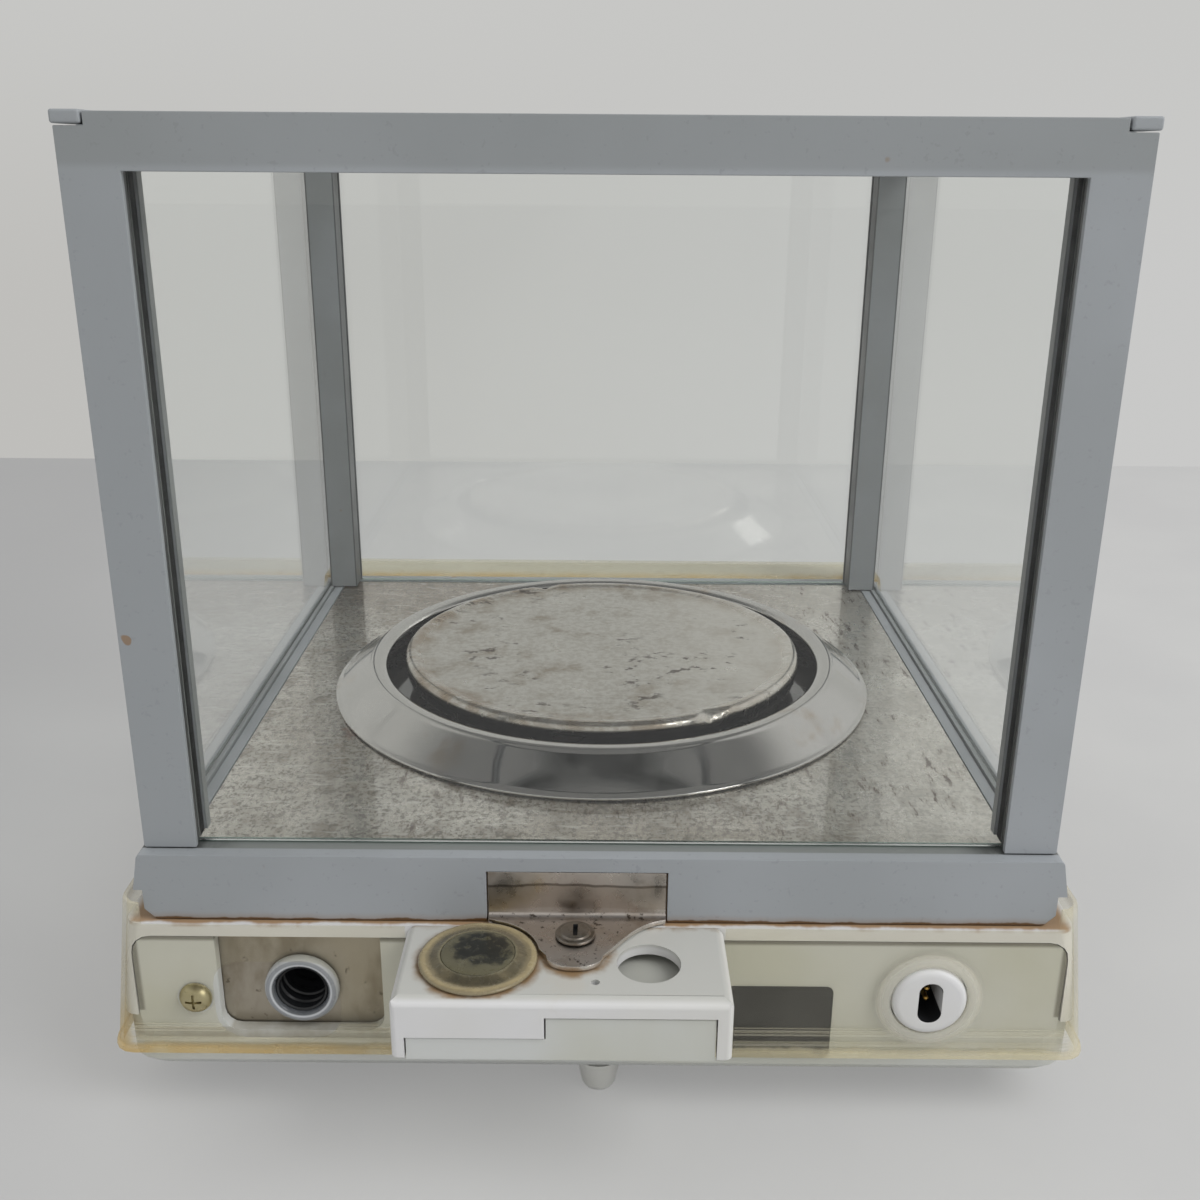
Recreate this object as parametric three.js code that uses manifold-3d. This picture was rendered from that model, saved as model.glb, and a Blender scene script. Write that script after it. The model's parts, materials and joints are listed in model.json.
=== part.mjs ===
// Precision balance with a glass draft shield, in millimetres, +Z up.
// The table is z = 0 and x = 0 is the middle. While modelling, y = 0 is the rear face of the shield's rear
// frame and +y runs to the operator; the last lines centre the footprint on the origin.
import * as THREE from 'three';
import { mergeVertices } from 'three/addons/utils/BufferGeometryUtils.js';
import Module from 'manifold-3d';

const wasm = await Module();
wasm.setup();

// Shared values
const gap = 0.3;
const overrun = 4;
const roundSegments = 32;
const smallSegments = 16;
const cornerSegments = 2;
const pinSegments = 10;
const quarter = Math.PI / 2;

// Rear frame of the shield: the widths of the whole follow it
const frame = {
  halfWidth: 90, height: 135.55, postWidth: 10.35, railHeight: 9.3, faceDepth: 1.5, depth: 10.5,
  faceLip: 2.3, channelRear: 2.3, channelFront: 8.1, channelDepth: 2.7, edgeBevel: 0.5,
};
const frameHalf = frame.halfWidth - frame.faceLip;
// From the rear frame's face to the front frame's
const shieldDepth = 178;

// Levels and lengths of the body
const body = {
  footRise: 7.8, trayWall: 14.4, housingSide: 21.7, collar: 11.6, shoulderMargin: 4.5, flareShare: 0.135,
  rearReach: 3.9, cornerRadius: 3.2, ledge: 19.4, slopeRun: 40, slopeDrop: 25.3, wall: 2.5, coreMargin: 5,
  coreInset: 0.9,
};
const trayBottom = body.footRise;
const trayTop = trayBottom + body.trayWall;
const housingBottom = trayTop + gap;
const shoulder = housingBottom + body.housingSide;
const deckTop = shoulder + body.collar;
const frontFaceTop = deckTop - body.slopeDrop;
const slopeAngle = Math.atan2(body.slopeDrop, body.slopeRun);
const shoulderHalf = frame.halfWidth + body.shoulderMargin;
const coreHalf = frame.halfWidth - body.coreMargin;
const coreRear = -body.coreInset;

// Skirt and floor of the shield
const skirt = {
  topMargin: 0.9, wideMargin: 2.3, lowMargin: 0.5, height: 14.3, stepHeight: 6.4, rearReach: 2.6,
  frontReach: 2.6, cornerCut: 2.2, topBevel: 0.5,
};
const skirtBottom = shoulder + gap;
const skirtTop = skirtBottom + skirt.height;
const skirtTopHalf = frame.halfWidth + skirt.topMargin;
const skirtWideHalf = frame.halfWidth + skirt.wideMargin;
const skirtLowHalf = frame.halfWidth + skirt.lowMargin;
const skirtRear = -skirt.rearReach;
const skirtFront = shieldDepth + skirt.frontReach;
const ledgeEnd = skirtFront + body.ledge;
const bodyFront = ledgeEnd + body.slopeRun;
const floorPlate = { thickness: 1, sideInset: 6.4, rear: 5.6, frontInset: 4, holeRadius: 17 };
const floorTop = deckTop + gap + floorPlate.thickness;
const floorHalf = frame.halfWidth - floorPlate.sideInset;
const floorFront = shieldDepth - floorPlate.frontInset;

// Glass shield
const frameBottom = skirtTop + gap;
const frameTop = frameBottom + frame.height;
const glass = { thickness: 2, doorThickness: 1.6 };
const gasket = { lip: 0.8 };
const farFrame = { depth: 10.3, postWidth: 8.4, drop: 4.35, railHeight: 4.6, glassInset: 3.4 };
const farTop = frameTop - farFrame.drop;
const farRear = shieldDepth - farFrame.depth;
const farGlassRear = shieldDepth - farFrame.glassInset;
const sideRail = { innerLip: 0.9, lipHeight: 1.6, base: 0.8, outerLip: 0.5, clearance: 0.3, sink: 1.3 };
const railSeat = floorTop - sideRail.sink;
const topRail = { inset: 5.1, height: 3.8, lipHeight: 3.2, glassGroove: 2 };
const topRailInner = frame.halfWidth - topRail.inset;
const cap = { inset: 4.7, sideProud: 0.4, height: 2.5, depth: 7.9, proud: 0.25 };
const capInner = frame.halfWidth - cap.inset;
const capOuter = frame.halfWidth + cap.sideProud;
const door = { lowGap: 0.3, gripDepth: 8, gripWidth: 4, gripBite: 5, gripInset: 1.4, bevel: 0.8 };
const topGrip = { inset: 6, drop: 5.2, rise: 0.8 };
const topGripHalf = frame.halfWidth - topGrip.inset;

// Pan, ring and weighing cell
const centreY = 93.8;
const pan = {
  radius: 51.6, rise: 10, thickness: 1, recess: 0.7, rollWidth: 3.4, skirtDrop: 5.4, hubRadius: 11,
  hubBore: 4.6,
};
const ring = {
  footRadius: 69.7, rimRadius: 60.2, innerRadius: 58, rise: 8.2, footLip: 0.8, wall: 1, innerDrop: 3.6,
};
const support = { tipRadius: 4.2, flangeRadius: 9, flangeThickness: 2.2, stemRadius: 6 };
const cell = {
  halfWidth: 20, baseRear: 34, blockLength: 11, upperLength: 28, drop: 9.8, carrierHalfWidth: 13,
  carrierHalfDepth: 9, guideThickness: 0.8, guideHalfWidth: 17, guideWindow: 9, lowRise: 9.2,
  leverHalfWidth: 3.5, leverRise: 22.2, leverHeight: 6, leverLead: 9, magnetLead: 16, magnetRadius: 12,
  magnetHeight: 14, gapOuter: 10, gapInner: 6.4, coilOuter: 9.2, coilInner: 7.2, coilHeight: 9,
};
const cellTop = deckTop - cell.drop;
const cellLow = trayBottom + cell.lowRise;
const blockRear = cell.baseRear + cell.blockLength;
const blockFront = cell.baseRear + cell.upperLength;
const magnetY = cell.baseRear - cell.magnetLead;
const leverLow = trayBottom + cell.leverRise;
const leverHigh = leverLow + cell.leverHeight;

// Rear side
const panel = { sideInset: 0.9, drop: 3.2, recess: 0.3, cornerRadius: 4 };
const panelHalf = shoulderHalf - panel.sideInset;
const panelTop = shoulder - panel.drop;
const hood = { left: -38.2, right: 24.6, reach: 27.3, height: 13.2, wall: 2.2, edge: 1.2 };
const hoodTop = shoulder;
const hoodBottom = hoodTop - hood.height;
const bulge = { inset: 2.8, rightInset: 3.2, highLength: 31.1, lowDrop: 8.6, highDrop: 4.1, wall: 2.5 };
const bulgeLeft = hood.left + bulge.inset;
const bulgeRight = hood.right - bulge.rightInset;
const bulgeMiddle = bulgeRight - bulge.highLength;
const bulgeLowTop = hoodTop - bulge.lowDrop;
const bulgeHighTop = hoodTop - bulge.highDrop;
const bubble = {
  x: -23, y: -15.2, radius: 11.3, bodyRadius: 9.5, drop: 8, proud: 1, lensRadius: 6.8, floor: 1.6,
};
const sightHole = { x: 9.4, y: -15.8, radius: 6.1 };
const pinHole = { x: -0.7, y: -21.7, radius: 0.85 };
const bracket = {
  leftReach: 17.4, rightReach: 17.8, rise: 10.9, thickness: 1, tipX: -4.7, tipHalfWidth: 5.4, tipReach: 19,
  flankShares: [0.47, 0.63], flankReaches: [4.6, 9], tipShare: 0.7,
};
const bracketLeft = bracket.tipX - bracket.leftReach;
const bracketRight = bracket.tipX + bracket.rightReach;
const bracketTop = skirtBottom + bracket.rise;
const lock = {
  y: -8.9, radius: 3.9, head: 1.1, shankRadius: 1.8, shankLength: 4.8, slotWidth: 0.9, slotDepth: 0.7,
};
const plate = {
  sideInset: 16.6, length: 33.2, rise: 11.05, thickness: 1, overlap: 1.8, cornerRadius: 3.5,
};
const plateLeft = plate.sideInset - panelHalf;
const plateRight = plateLeft + plate.length;
const plateLow = trayBottom + plate.rise;
const grommet = { lead: 16.4, rise: 20, radius: 7.6, bore: 5.35, neck: 6.3, flange: 2, length: 6 };
const grommetX = plateLeft + grommet.lead;
const grommetZ = trayBottom + grommet.rise;
const socket = { radius: 6.9, bore: 4.7, step: 0.5, length: 10, floor: 2 };
const inlet = {
  sideInset: 27.15, rise: 20.6, radius: 7.6, reach: 2.2, length: 12, slotHalfWidth: 2.4, slotHalfHeight: 4.6,
  floor: 3, pinRadius: 0.55, pinPitch: 2.4, pinLength: 9,
};
const inletX = panelHalf - inlet.sideInset;
const inletZ = trayBottom + inlet.rise;
const panelScrew = {
  sideInset: 11.9, rise: 19.2, headRadius: 3.35, head: 2.2, shankRadius: 1.6, shankLength: 7,
  crossWidth: 0.8,
};
const panelScrewX = panelScrew.sideInset - panelHalf;
const panelScrewZ = trayBottom + panelScrew.rise;
const label = { space: 1.2, length: 21.6, rise: 5.2, height: 17.4, thickness: 0.2 };

// Clear cover worn over the housing
const cover = {
  thickness: 0.8, rise: 29.5, sideRise: 4.7, lip: 0.5, lipHeight: 1.2, holeMargin: 0.4, windowSpace: 0.9,
  windowLow: 1.45, windowLength: 25.7, windowHeight: 18.8, windowRadius: 6,
};
const coverBottom = shoulder - cover.rise - gap;
const coverSideTop = skirtBottom + cover.sideRise;

// Console, measured down the slope from its upper edge
const windowPane = { halfWidth: 46, from: 5, length: 20, thickness: 1.6, radius: 2 };
const display = { halfWidth: 38, margin: 3, thickness: 2.4, boardMargin: 6, boardThickness: 1.6 };
const keyRow = {
  space: 6, length: 9.5, thickness: 3.2, travel: 1, barHalfWidth: 30, keyWidth: 18, keySpace: 8, radius: 1.5,
};
const keyFrom = windowPane.from + windowPane.length + keyRow.space;

// Feet, board and fasteners
const rearFoot = { y: 4.5, topRadius: 5, footRadius: 3.6, spigotRadius: 2, spigot: 2 };
const levelFoot = {
  sideInset: 15.5, frontInset: 26, wheelRadius: 11, wheelThickness: 3.4, spindleRadius: 3, padRadius: 7,
  padThickness: 3, spindle: 12, bossWall: 3, knurls: 18, knurlShare: 0.05,
};
const levelFootX = shoulderHalf - levelFoot.sideInset;
const levelFootY = bodyFront - levelFoot.frontInset;
const board = {
  sideInset: 16.5, cellSpace: 10, rear: 24, length: 136, thickness: 1.6, standHeight: 13.2, postRadius: 3,
  inset: 6,
};
const boardRight = shoulderHalf - board.sideInset;
const boardLeft = cell.halfWidth + board.cellSpace;
const boardFront = board.rear + board.length;
const caseScrew = {
  sideInset: 10.5, y: 60, headRadius: 3, head: 2, shankRadius: 1.5, length: 20, boss: 3.4,
};
const caseScrewX = shoulderHalf - caseScrew.sideInset;
const tray = { floor: 3, edgeRadius: 3.6, cornerRadius: 6.4 };

// Finishes
const finish = (color, roughness, metalness) => () => new THREE.MeshStandardMaterial({ color, roughness,
  metalness });
const clear = (color, opacity) => () => {
  const material = new THREE.MeshStandardMaterial({ color, roughness: 0.05, metalness: 0 });
  material.transparent = true;
  material.opacity = opacity;
  return material;
};
const finishes = {
  greyPaint: finish('#8e9498', 0.55, 0.1),
  whitePlastic: finish('#d9d9d6', 0.5, 0),
  greyPlastic: finish('#b4b7b4', 0.5, 0),
  darkPlastic: finish('#26272a', 0.55, 0),
  steel: finish('#9b9890', 0.35, 0.9),
  brightSteel: finish('#b4b3b0', 0.15, 1),
  stainedSteel: finish('#857c76', 0.4, 0.9),
  zinc: finish('#8f8a6d', 0.4, 0.8),
  brass: finish('#b08d4a', 0.35, 0.9),
  aluminium: finish('#a9abac', 0.45, 0.85),
  copper: finish('#a8623a', 0.4, 0.8),
  rubber: finish('#1d1d1e', 0.85, 0),
  paleRubber: finish('#b9b8b2', 0.7, 0),
  circuit: finish('#2f6b45', 0.6, 0),
  milky: finish('#c9cfd0', 0.35, 0),
  amber: finish('#b5ab86', 0.35, 0),
  pane: clear('#dfeeea', 0.25),
  film: clear('#d8d2a6', 0.5),
  lcd: finish('#7c8474', 0.3, 0),
};

// From three.js geometry to a solid, and back to a named mesh
function signedVolume(positions, index) {
  const a = new THREE.Vector3();
  const b = new THREE.Vector3();
  const c = new THREE.Vector3();
  let total = 0;
  for (let i = 0; i < index.length; i += 3) {
    a.fromBufferAttribute(positions, index[i]);
    b.fromBufferAttribute(positions, index[i + 1]);
    c.fromBufferAttribute(positions, index[i + 2]);
    total += a.dot(b.cross(c));
  }
  return total;
}

function solid(geometry) {
  const bare = geometry.clone();
  bare.deleteAttribute('normal');
  bare.deleteAttribute('uv');
  const merged = mergeVertices(bare);
  const index = [];
  for (let i = 0; i < merged.index.count; i += 3) {
    const [a, b, c] = [merged.index.getX(i), merged.index.getX(i + 1), merged.index.getX(i + 2)];
    if (a !== b && b !== c && a !== c) {
      index.push(a, b, c);
    }
  }
  if (signedVolume(merged.attributes.position, index) < 0) {
    index.reverse();
  }
  return new wasm.Manifold(new wasm.Mesh({
    numProp: 3,
    vertProperties: new Float32Array(merged.attributes.position.array),
    triVerts: new Uint32Array(index),
  }));
}

function piece(name, shape, makeMaterial) {
  const result = shape.getMesh();
  const geometry = new THREE.BufferGeometry();
  geometry.setAttribute('position', new THREE.BufferAttribute(new Float32Array(result.vertProperties), 3));
  geometry.setIndex(new THREE.BufferAttribute(new Uint32Array(result.triVerts), 1));
  geometry.computeVertexNormals();
  const mesh = new THREE.Mesh(geometry, makeMaterial());
  mesh.name = name;
  return mesh;
}

function at(mesh, x, y, z) {
  mesh.position.set(x, y, z);
  return mesh;
}

// Basic forms, given by the spans that they fill
function block([x0, x1], [y0, y1], [z0, z1]) {
  const geometry = new THREE.BoxGeometry(x1 - x0, y1 - y0, z1 - z0);
  geometry.translate((x0 + x1) / 2, (y0 + y1) / 2, (z0 + z1) / 2);
  return solid(geometry);
}

function rod(radius, x, y, [z0, z1], segments = smallSegments) {
  const geometry = new THREE.CylinderGeometry(radius, radius, z1 - z0, segments);
  geometry.rotateX(quarter);
  geometry.translate(x, y, (z0 + z1) / 2);
  return solid(geometry);
}

function rodAlongY(radius, x, z, [y0, y1], segments = smallSegments) {
  const geometry = new THREE.CylinderGeometry(radius, radius, y1 - y0, segments);
  geometry.translate(x, (y0 + y1) / 2, z);
  return solid(geometry);
}

function turned(points, segments = roundSegments) {
  const outline = points.map(([r, z]) => new THREE.Vector2(r, z));
  const geometry = new THREE.LatheGeometry(outline, segments);
  geometry.rotateX(quarter);
  return solid(geometry);
}

function turnedAlongY(points, segments = roundSegments) {
  const outline = points.map(([r, y]) => new THREE.Vector2(r, y));
  return solid(new THREE.LatheGeometry(outline, segments));
}

function outlineOf(points) {
  const shape = new THREE.Shape();
  points.forEach(([u, v], i) => (i === 0 ? shape.moveTo(u, v) : shape.lineTo(u, v)));
  shape.closePath();
  return shape;
}

function roundedOutline([u0, u1], [v0, v1], radius) {
  const shape = new THREE.Shape();
  shape.moveTo(u0 + radius, v0);
  shape.lineTo(u1 - radius, v0);
  shape.absarc(u1 - radius, v0 + radius, radius, -quarter, 0);
  shape.lineTo(u1, v1 - radius);
  shape.absarc(u1 - radius, v1 - radius, radius, 0, quarter);
  shape.lineTo(u0 + radius, v1);
  shape.absarc(u0 + radius, v1 - radius, radius, quarter, 2 * quarter);
  shape.lineTo(u0, v0 + radius);
  shape.absarc(u0 + radius, v0 + radius, radius, 2 * quarter, 3 * quarter);
  return shape;
}

function extruded(shape, depth, bevel = 0) {
  return new THREE.ExtrudeGeometry(shape, {
    depth: depth - 2 * bevel, curveSegments: cornerSegments, bevelEnabled: bevel > 0, bevelThickness: bevel,
    bevelSize: bevel, bevelOffset: -bevel, bevelSegments: 1,
  }).translate(0, 0, bevel);
}

function prismZ(shape, [z0, z1], bevel = 0) {
  return solid(extruded(shape, z1 - z0, bevel).translate(0, 0, z0));
}

// An outline in (y, z), extruded along x
function prismX(shape, [x0, x1], bevel = 0) {
  const turn = new THREE.Matrix4().makeBasis(
    new THREE.Vector3(0, 1, 0), new THREE.Vector3(0, 0, 1), new THREE.Vector3(1, 0, 0));
  return solid(extruded(shape, x1 - x0, bevel).applyMatrix4(turn).translate(x0, 0, 0));
}

// An outline in (x, z), extruded along y
function prismY(shape, [y0, y1], bevel = 0) {
  const turn = new THREE.Matrix4().makeBasis(
    new THREE.Vector3(1, 0, 0), new THREE.Vector3(0, 0, 1), new THREE.Vector3(0, -1, 0));
  return solid(extruded(shape, y1 - y0, bevel).applyMatrix4(turn).translate(0, y1, 0));
}

const past = (value) => value + overrun;
const both = (half) => [-half, half];
const side = (sign, near, far) => (sign > 0 ? [near, far] : [-far, -near]);

// The outer form of the housing, grown outwards by an offset: flared sides, flat ledge and sloping console
function housingForm(grow, low) {
  const halfWidth = shoulderHalf + (shoulder - low) * body.flareShare + grow;
  const high = past(deckTop + grow);
  const plan = roundedOutline(both(halfWidth), [-body.rearReach - grow, bodyFront + grow],
    body.cornerRadius + grow);
  const geometry = extruded(plan, high - low);
  const positions = geometry.attributes.position;
  for (let i = 0; i < positions.count; i += 1) {
    const lean = positions.getZ(i) * body.flareShare;
    positions.setX(i, positions.getX(i) - Math.sign(positions.getX(i)) * lean);
  }
  geometry.translate(0, 0, low);
  const profile = outlineOf([
    [-past(body.rearReach + grow), low - overrun],
    [past(bodyFront + grow), low - overrun],
    [past(bodyFront + grow), frontFaceTop + grow * Math.tan((quarter - slopeAngle) / 2)
      - overrun * Math.tan(slopeAngle)],
    [ledgeEnd + grow * Math.tan(slopeAngle / 2), deckTop + grow],
    [-past(body.rearReach + grow), deckTop + grow],
  ]);
  return solid(geometry).intersect(prismX(profile, both(past(halfWidth))));
}

// Places on the console are given along x, down the slope and along its normal
const slopePlace = new THREE.Matrix4().makeTranslation(0, ledgeEnd, deckTop)
  .multiply(new THREE.Matrix4().makeRotationX(-slopeAngle));

function consolePocket([x0, x1], [s0, s1], [n0, n1], radius) {
  const geometry = extruded(roundedOutline([x0, x1], [s0, s1], radius), n1 - n0);
  return solid(geometry.translate(0, 0, n0).applyMatrix4(slopePlace));
}

const keySpans = {
  control_bar: both(keyRow.barHalfWidth),
  key_left: [-keyRow.barHalfWidth - keyRow.keySpace - keyRow.keyWidth,
    -keyRow.barHalfWidth - keyRow.keySpace],
  key_right: [keyRow.barHalfWidth + keyRow.keySpace,
    keyRow.barHalfWidth + keyRow.keySpace + keyRow.keyWidth],
};

// Housing
function skirtZone(margin) {
  const front = skirtFront + gap;
  const outside = block(both(past(shoulderHalf)), [-past(past(body.rearReach)), front],
    [shoulder, past(past(deckTop))]);
  const core = block(both(coreHalf - margin), [coreRear + margin, past(front)],
    [shoulder - overrun, deckTop - margin]);
  return outside.subtract(core);
}

function upperHousing() {
  let shell = housingForm(0, housingBottom).subtract(skirtZone(0));
  const acrossHalf = past(past(coreHalf));
  let hollow = housingForm(-body.wall, housingBottom - overrun);
  hollow = hollow.subtract(block(both(acrossHalf), [-past(hood.reach), skirtFront + gap + body.wall],
    [shoulder - body.wall, past(past(deckTop))]));
  hollow = hollow.add(block(both(coreHalf - body.wall),
    [coreRear + body.wall, ledgeEnd - body.wall],
    [shoulder - body.wall - overrun, deckTop - body.wall]));
  shell = shell.subtract(hollow);
  // Room for the rear panel of the tray and for the level shelf's side walls
  const rearDepth = [-body.rearReach - overrun, -body.rearReach + body.wall + gap];
  shell = shell.subtract(prismY(roundedOutline(both(panelHalf + gap), [-past(0), panelTop + gap],
    panel.cornerRadius + gap), rearDepth));
  // Pan hole, window and keys
  const deckCut = [deckTop - body.wall - overrun, past(deckTop)];
  shell = shell.subtract(rod(floorPlate.holeRadius, 0, centreY, deckCut));
  const depth = [-body.wall - overrun, overrun];
  shell = shell.subtract(consolePocket(both(windowPane.halfWidth + gap),
    [windowPane.from - gap, windowPane.from + windowPane.length + gap],
      [-windowPane.thickness - gap, overrun],
    windowPane.radius));
  shell = shell.subtract(consolePocket(both(display.halfWidth),
    [windowPane.from + display.margin,
      windowPane.from + windowPane.length - display.margin], depth, windowPane.radius));
  Object.values(keySpans).forEach(([left, right]) => {
    shell = shell.subtract(consolePocket([left - gap, right + gap],
      [keyFrom - gap, keyFrom + keyRow.length + gap], depth, keyRow.radius));
  });
  // Screw bosses that reach down to the tray
  [-1, 1].forEach((sign) => {
    const boss = rod(caseScrew.boss, sign * caseScrewX, caseScrew.y,
      [housingBottom, shoulder - body.wall / 2]);
    const bore = rod(caseScrew.shankRadius + gap, sign * caseScrewX, caseScrew.y,
      [housingBottom - overrun, trayBottom + caseScrew.head + caseScrew.length + gap]);
    shell = shell.add(boss).subtract(bore);
  });
  return piece('upper_housing', shell, finishes.whitePlastic);
}

// The white shelf at the rear that carries the level: open below, with a stepped opening in its rear wall
function levelShelf() {
  const outline = roundedOutline([hood.left, hood.right], [-hood.reach, body.wall], hood.edge);
  let shelf = prismZ(outline, [hoodBottom, hoodTop], hood.edge / 2);
  const across = [hood.left + hood.wall, hood.right - hood.wall];
  shelf = shelf.subtract(block(across, [-hood.reach + hood.wall, past(body.wall)],
    [hoodBottom - overrun, hoodTop - hood.wall]));
  // Only the side walls reach in through the panel, under the housing's edge
  shelf = shelf.subtract(block([hood.left - overrun, past(hood.right)],
    [-body.rearReach - gap, past(body.wall)],
    [panelTop, past(hoodTop)]));
  const rear = [-past(hood.reach), -hood.reach + hood.wall + gap];
  shelf = shelf.subtract(block([bulgeLeft - gap, bulgeRight + gap], rear,
    [hoodBottom - overrun, bulgeLowTop + gap]));
  shelf = shelf.subtract(block([bulgeMiddle - gap, bulgeRight + gap], rear,
    [hoodBottom, bulgeHighTop + gap]));
  // Level pocket, sight hole, pin hole and lock hole
  const through = [hoodTop - hood.wall - overrun, past(hoodTop)];
  shelf = shelf.subtract(rod(bubble.bodyRadius + gap, bubble.x, bubble.y, through, roundSegments));
  shelf = shelf.subtract(rod(sightHole.radius, sightHole.x, sightHole.y, through, roundSegments));
  shelf = shelf.subtract(rod(pinHole.radius, pinHole.x, pinHole.y, through, pinSegments));
  shelf = shelf.subtract(rod(lock.shankRadius + gap, bracket.tipX, lock.y, through));
  return piece('level_shelf', shelf, finishes.whitePlastic);
}

// Tray
function baseTray() {
  const halfWidth = shoulderHalf + (shoulder - trayTop) * body.flareShare;
  const plan = (inset) => roundedOutline(both(halfWidth - inset),
    [-body.rearReach + panel.recess + inset, bodyFront - inset], tray.cornerRadius - inset);
  const below = block(both(past(halfWidth)), [-past(hood.reach), past(bodyFront)], [-overrun, trayTop]);
  let shell = prismZ(plan(0), [trayBottom, past(past(trayTop))], tray.edgeRadius).intersect(below);
  shell = shell.subtract(prismZ(plan(body.wall), [trayBottom + tray.floor, past(trayTop)]));
  // Rear panel and the bulge behind the level shelf
  const panelSpan = [-body.rearReach + panel.recess, -body.rearReach + panel.recess + body.wall];
  shell = shell.add(prismY(roundedOutline(both(panelHalf), [trayTop - overrun, panelTop],
    panel.cornerRadius),
    panelSpan).intersect(housingForm(0, trayBottom)));
  shell = shell.subtract(block([hood.left - gap, hood.right + gap], [-past(hood.reach), panelSpan[1]],
    [hoodBottom - gap, past(panelTop)]));
  const bulgeSpan = [-hood.reach + panel.recess, panelSpan[1]];
  const low = block([bulgeLeft, bulgeRight], bulgeSpan, [hoodBottom, bulgeLowTop]);
  const high = block([bulgeMiddle, bulgeRight], bulgeSpan, [hoodBottom, bulgeHighTop]);
  const joint = block([bulgeLeft, bulgeRight], panelSpan, [hoodBottom - 2 * gap, bulgeLowTop]);
  const hollow = [-hood.reach + panel.recess + bulge.wall, past(past(0))];
  const lowRoom = block([bulgeLeft + bulge.wall, bulgeRight - bulge.wall], hollow,
    [hoodBottom + bulge.wall, bulgeLowTop - bulge.wall / 2]);
  shell = shell.add(low).add(high).add(joint).subtract(lowRoom);
  // Cut-out for the interface plate, open at the top
  shell = shell.subtract(prismY(roundedOutline([plateLeft, plateRight],
    [plateLow, past(past(panelTop))],
    plate.cornerRadius), [panelSpan[0] - overrun, past(panelSpan[1])]));
  shell = shell.subtract(rodAlongY(inlet.radius + gap, inletX, inletZ,
    [panelSpan[0] - overrun, past(panelSpan[1])],
    roundSegments));
  shell = shell.subtract(rodAlongY(panelScrew.shankRadius + gap, panelScrewX, panelScrewZ,
    [panelSpan[0] - overrun, past(panelSpan[1])]));
  // Bosses for the feet, the board and the case screws
  const inFloor = [trayBottom - overrun, past(trayBottom + tray.floor)];
  shell = shell.subtract(rod(rearFoot.spigotRadius + gap, 0, rearFoot.y, inFloor));
  [-1, 1].forEach((sign) => {
    const boss = rod(levelFoot.spindleRadius + levelFoot.bossWall, sign * levelFootX, levelFootY,
      [trayBottom, levelFoot.padThickness + gap + levelFoot.wheelThickness + levelFoot.spindle]);
    const thread = rod(levelFoot.spindleRadius + gap, sign * levelFootX, levelFootY,
      [trayBottom - overrun, past(trayTop)]);
    shell = shell.add(boss).subtract(thread);
    const x = sign * caseScrewX;
    const post = rod(caseScrew.boss, x, caseScrew.y, [trayBottom, trayTop]);
    const bore = rod(caseScrew.shankRadius + gap, x, caseScrew.y, [trayBottom - overrun, past(trayTop)]);
    const sink = rod(caseScrew.headRadius + gap, x, caseScrew.y,
      [trayBottom - overrun, trayBottom + caseScrew.head + gap]);
    shell = shell.add(post).subtract(bore).subtract(sink);
  });
  [boardLeft + board.inset, boardRight - board.inset].forEach((x) => {
    [board.rear + board.inset, boardFront - board.inset].forEach((y) => {
      shell = shell.add(rod(board.postRadius, x, y, [trayBottom, trayBottom + board.standHeight]));
    });
  });
  return piece('base_tray', shell, finishes.greyPlastic);
}

// Clear cover
function protectiveCover() {
  const inner = gap;
  const outer = gap + cover.thickness;
  let shell = housingForm(outer, coverBottom).subtract(housingForm(inner, coverBottom - overrun));
  const bound = past(past(shoulderHalf));
  const upTo = skirtFront + gap;
  shell = shell.subtract(block(both(bound + overrun), [-past(past(hood.reach)), upTo],
    [coverSideTop, past(past(skirtTop))]));
  shell = shell.subtract(block(both(skirtLowHalf + gap), [-past(past(hood.reach)), upTo],
    [shoulder, past(skirtTop)]));
  shell = shell.subtract(block(both(bound), [-overrun - body.rearReach, skirtRear + gap],
    [skirtBottom, past(skirtTop)])
    .intersect(block(both(skirtLowHalf + gap), both(past(hood.reach)),
      [skirtBottom, past(skirtTop)])));
  // Out-turned lower edge
  const brim = housingForm(outer + cover.lip, coverBottom).subtract(housingForm(inner,
    coverBottom - overrun))
    .intersect(block(both(past(bound)), [-past(hood.reach), past(past(bodyFront))],
      [coverBottom, coverBottom + cover.lipHeight]));
  shell = shell.add(brim);
  // Cut-outs for the level shelf, the interface, the inlet and the screw
  const depth = [-past(body.rearReach + outer), -body.rearReach + body.wall];
  const margin = cover.holeMargin;
  shell = shell.subtract(block([hood.left - margin, hood.right + margin], depth,
    [hoodBottom - margin, past(shoulder)]));
  const windowLeft = plateLeft - cover.windowSpace;
  const windowLow = plateLow - cover.windowLow;
  shell = shell.subtract(prismY(roundedOutline([windowLeft, windowLeft + cover.windowLength],
    [windowLow, windowLow + cover.windowHeight], cover.windowRadius), depth));
  shell = shell.subtract(rodAlongY(inlet.radius + margin, inletX, inletZ, depth, roundSegments));
  shell = shell.subtract(rodAlongY(panelScrew.headRadius + margin, panelScrewX, panelScrewZ, depth));
  return piece('protective_cover', shell, finishes.film);
}

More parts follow.
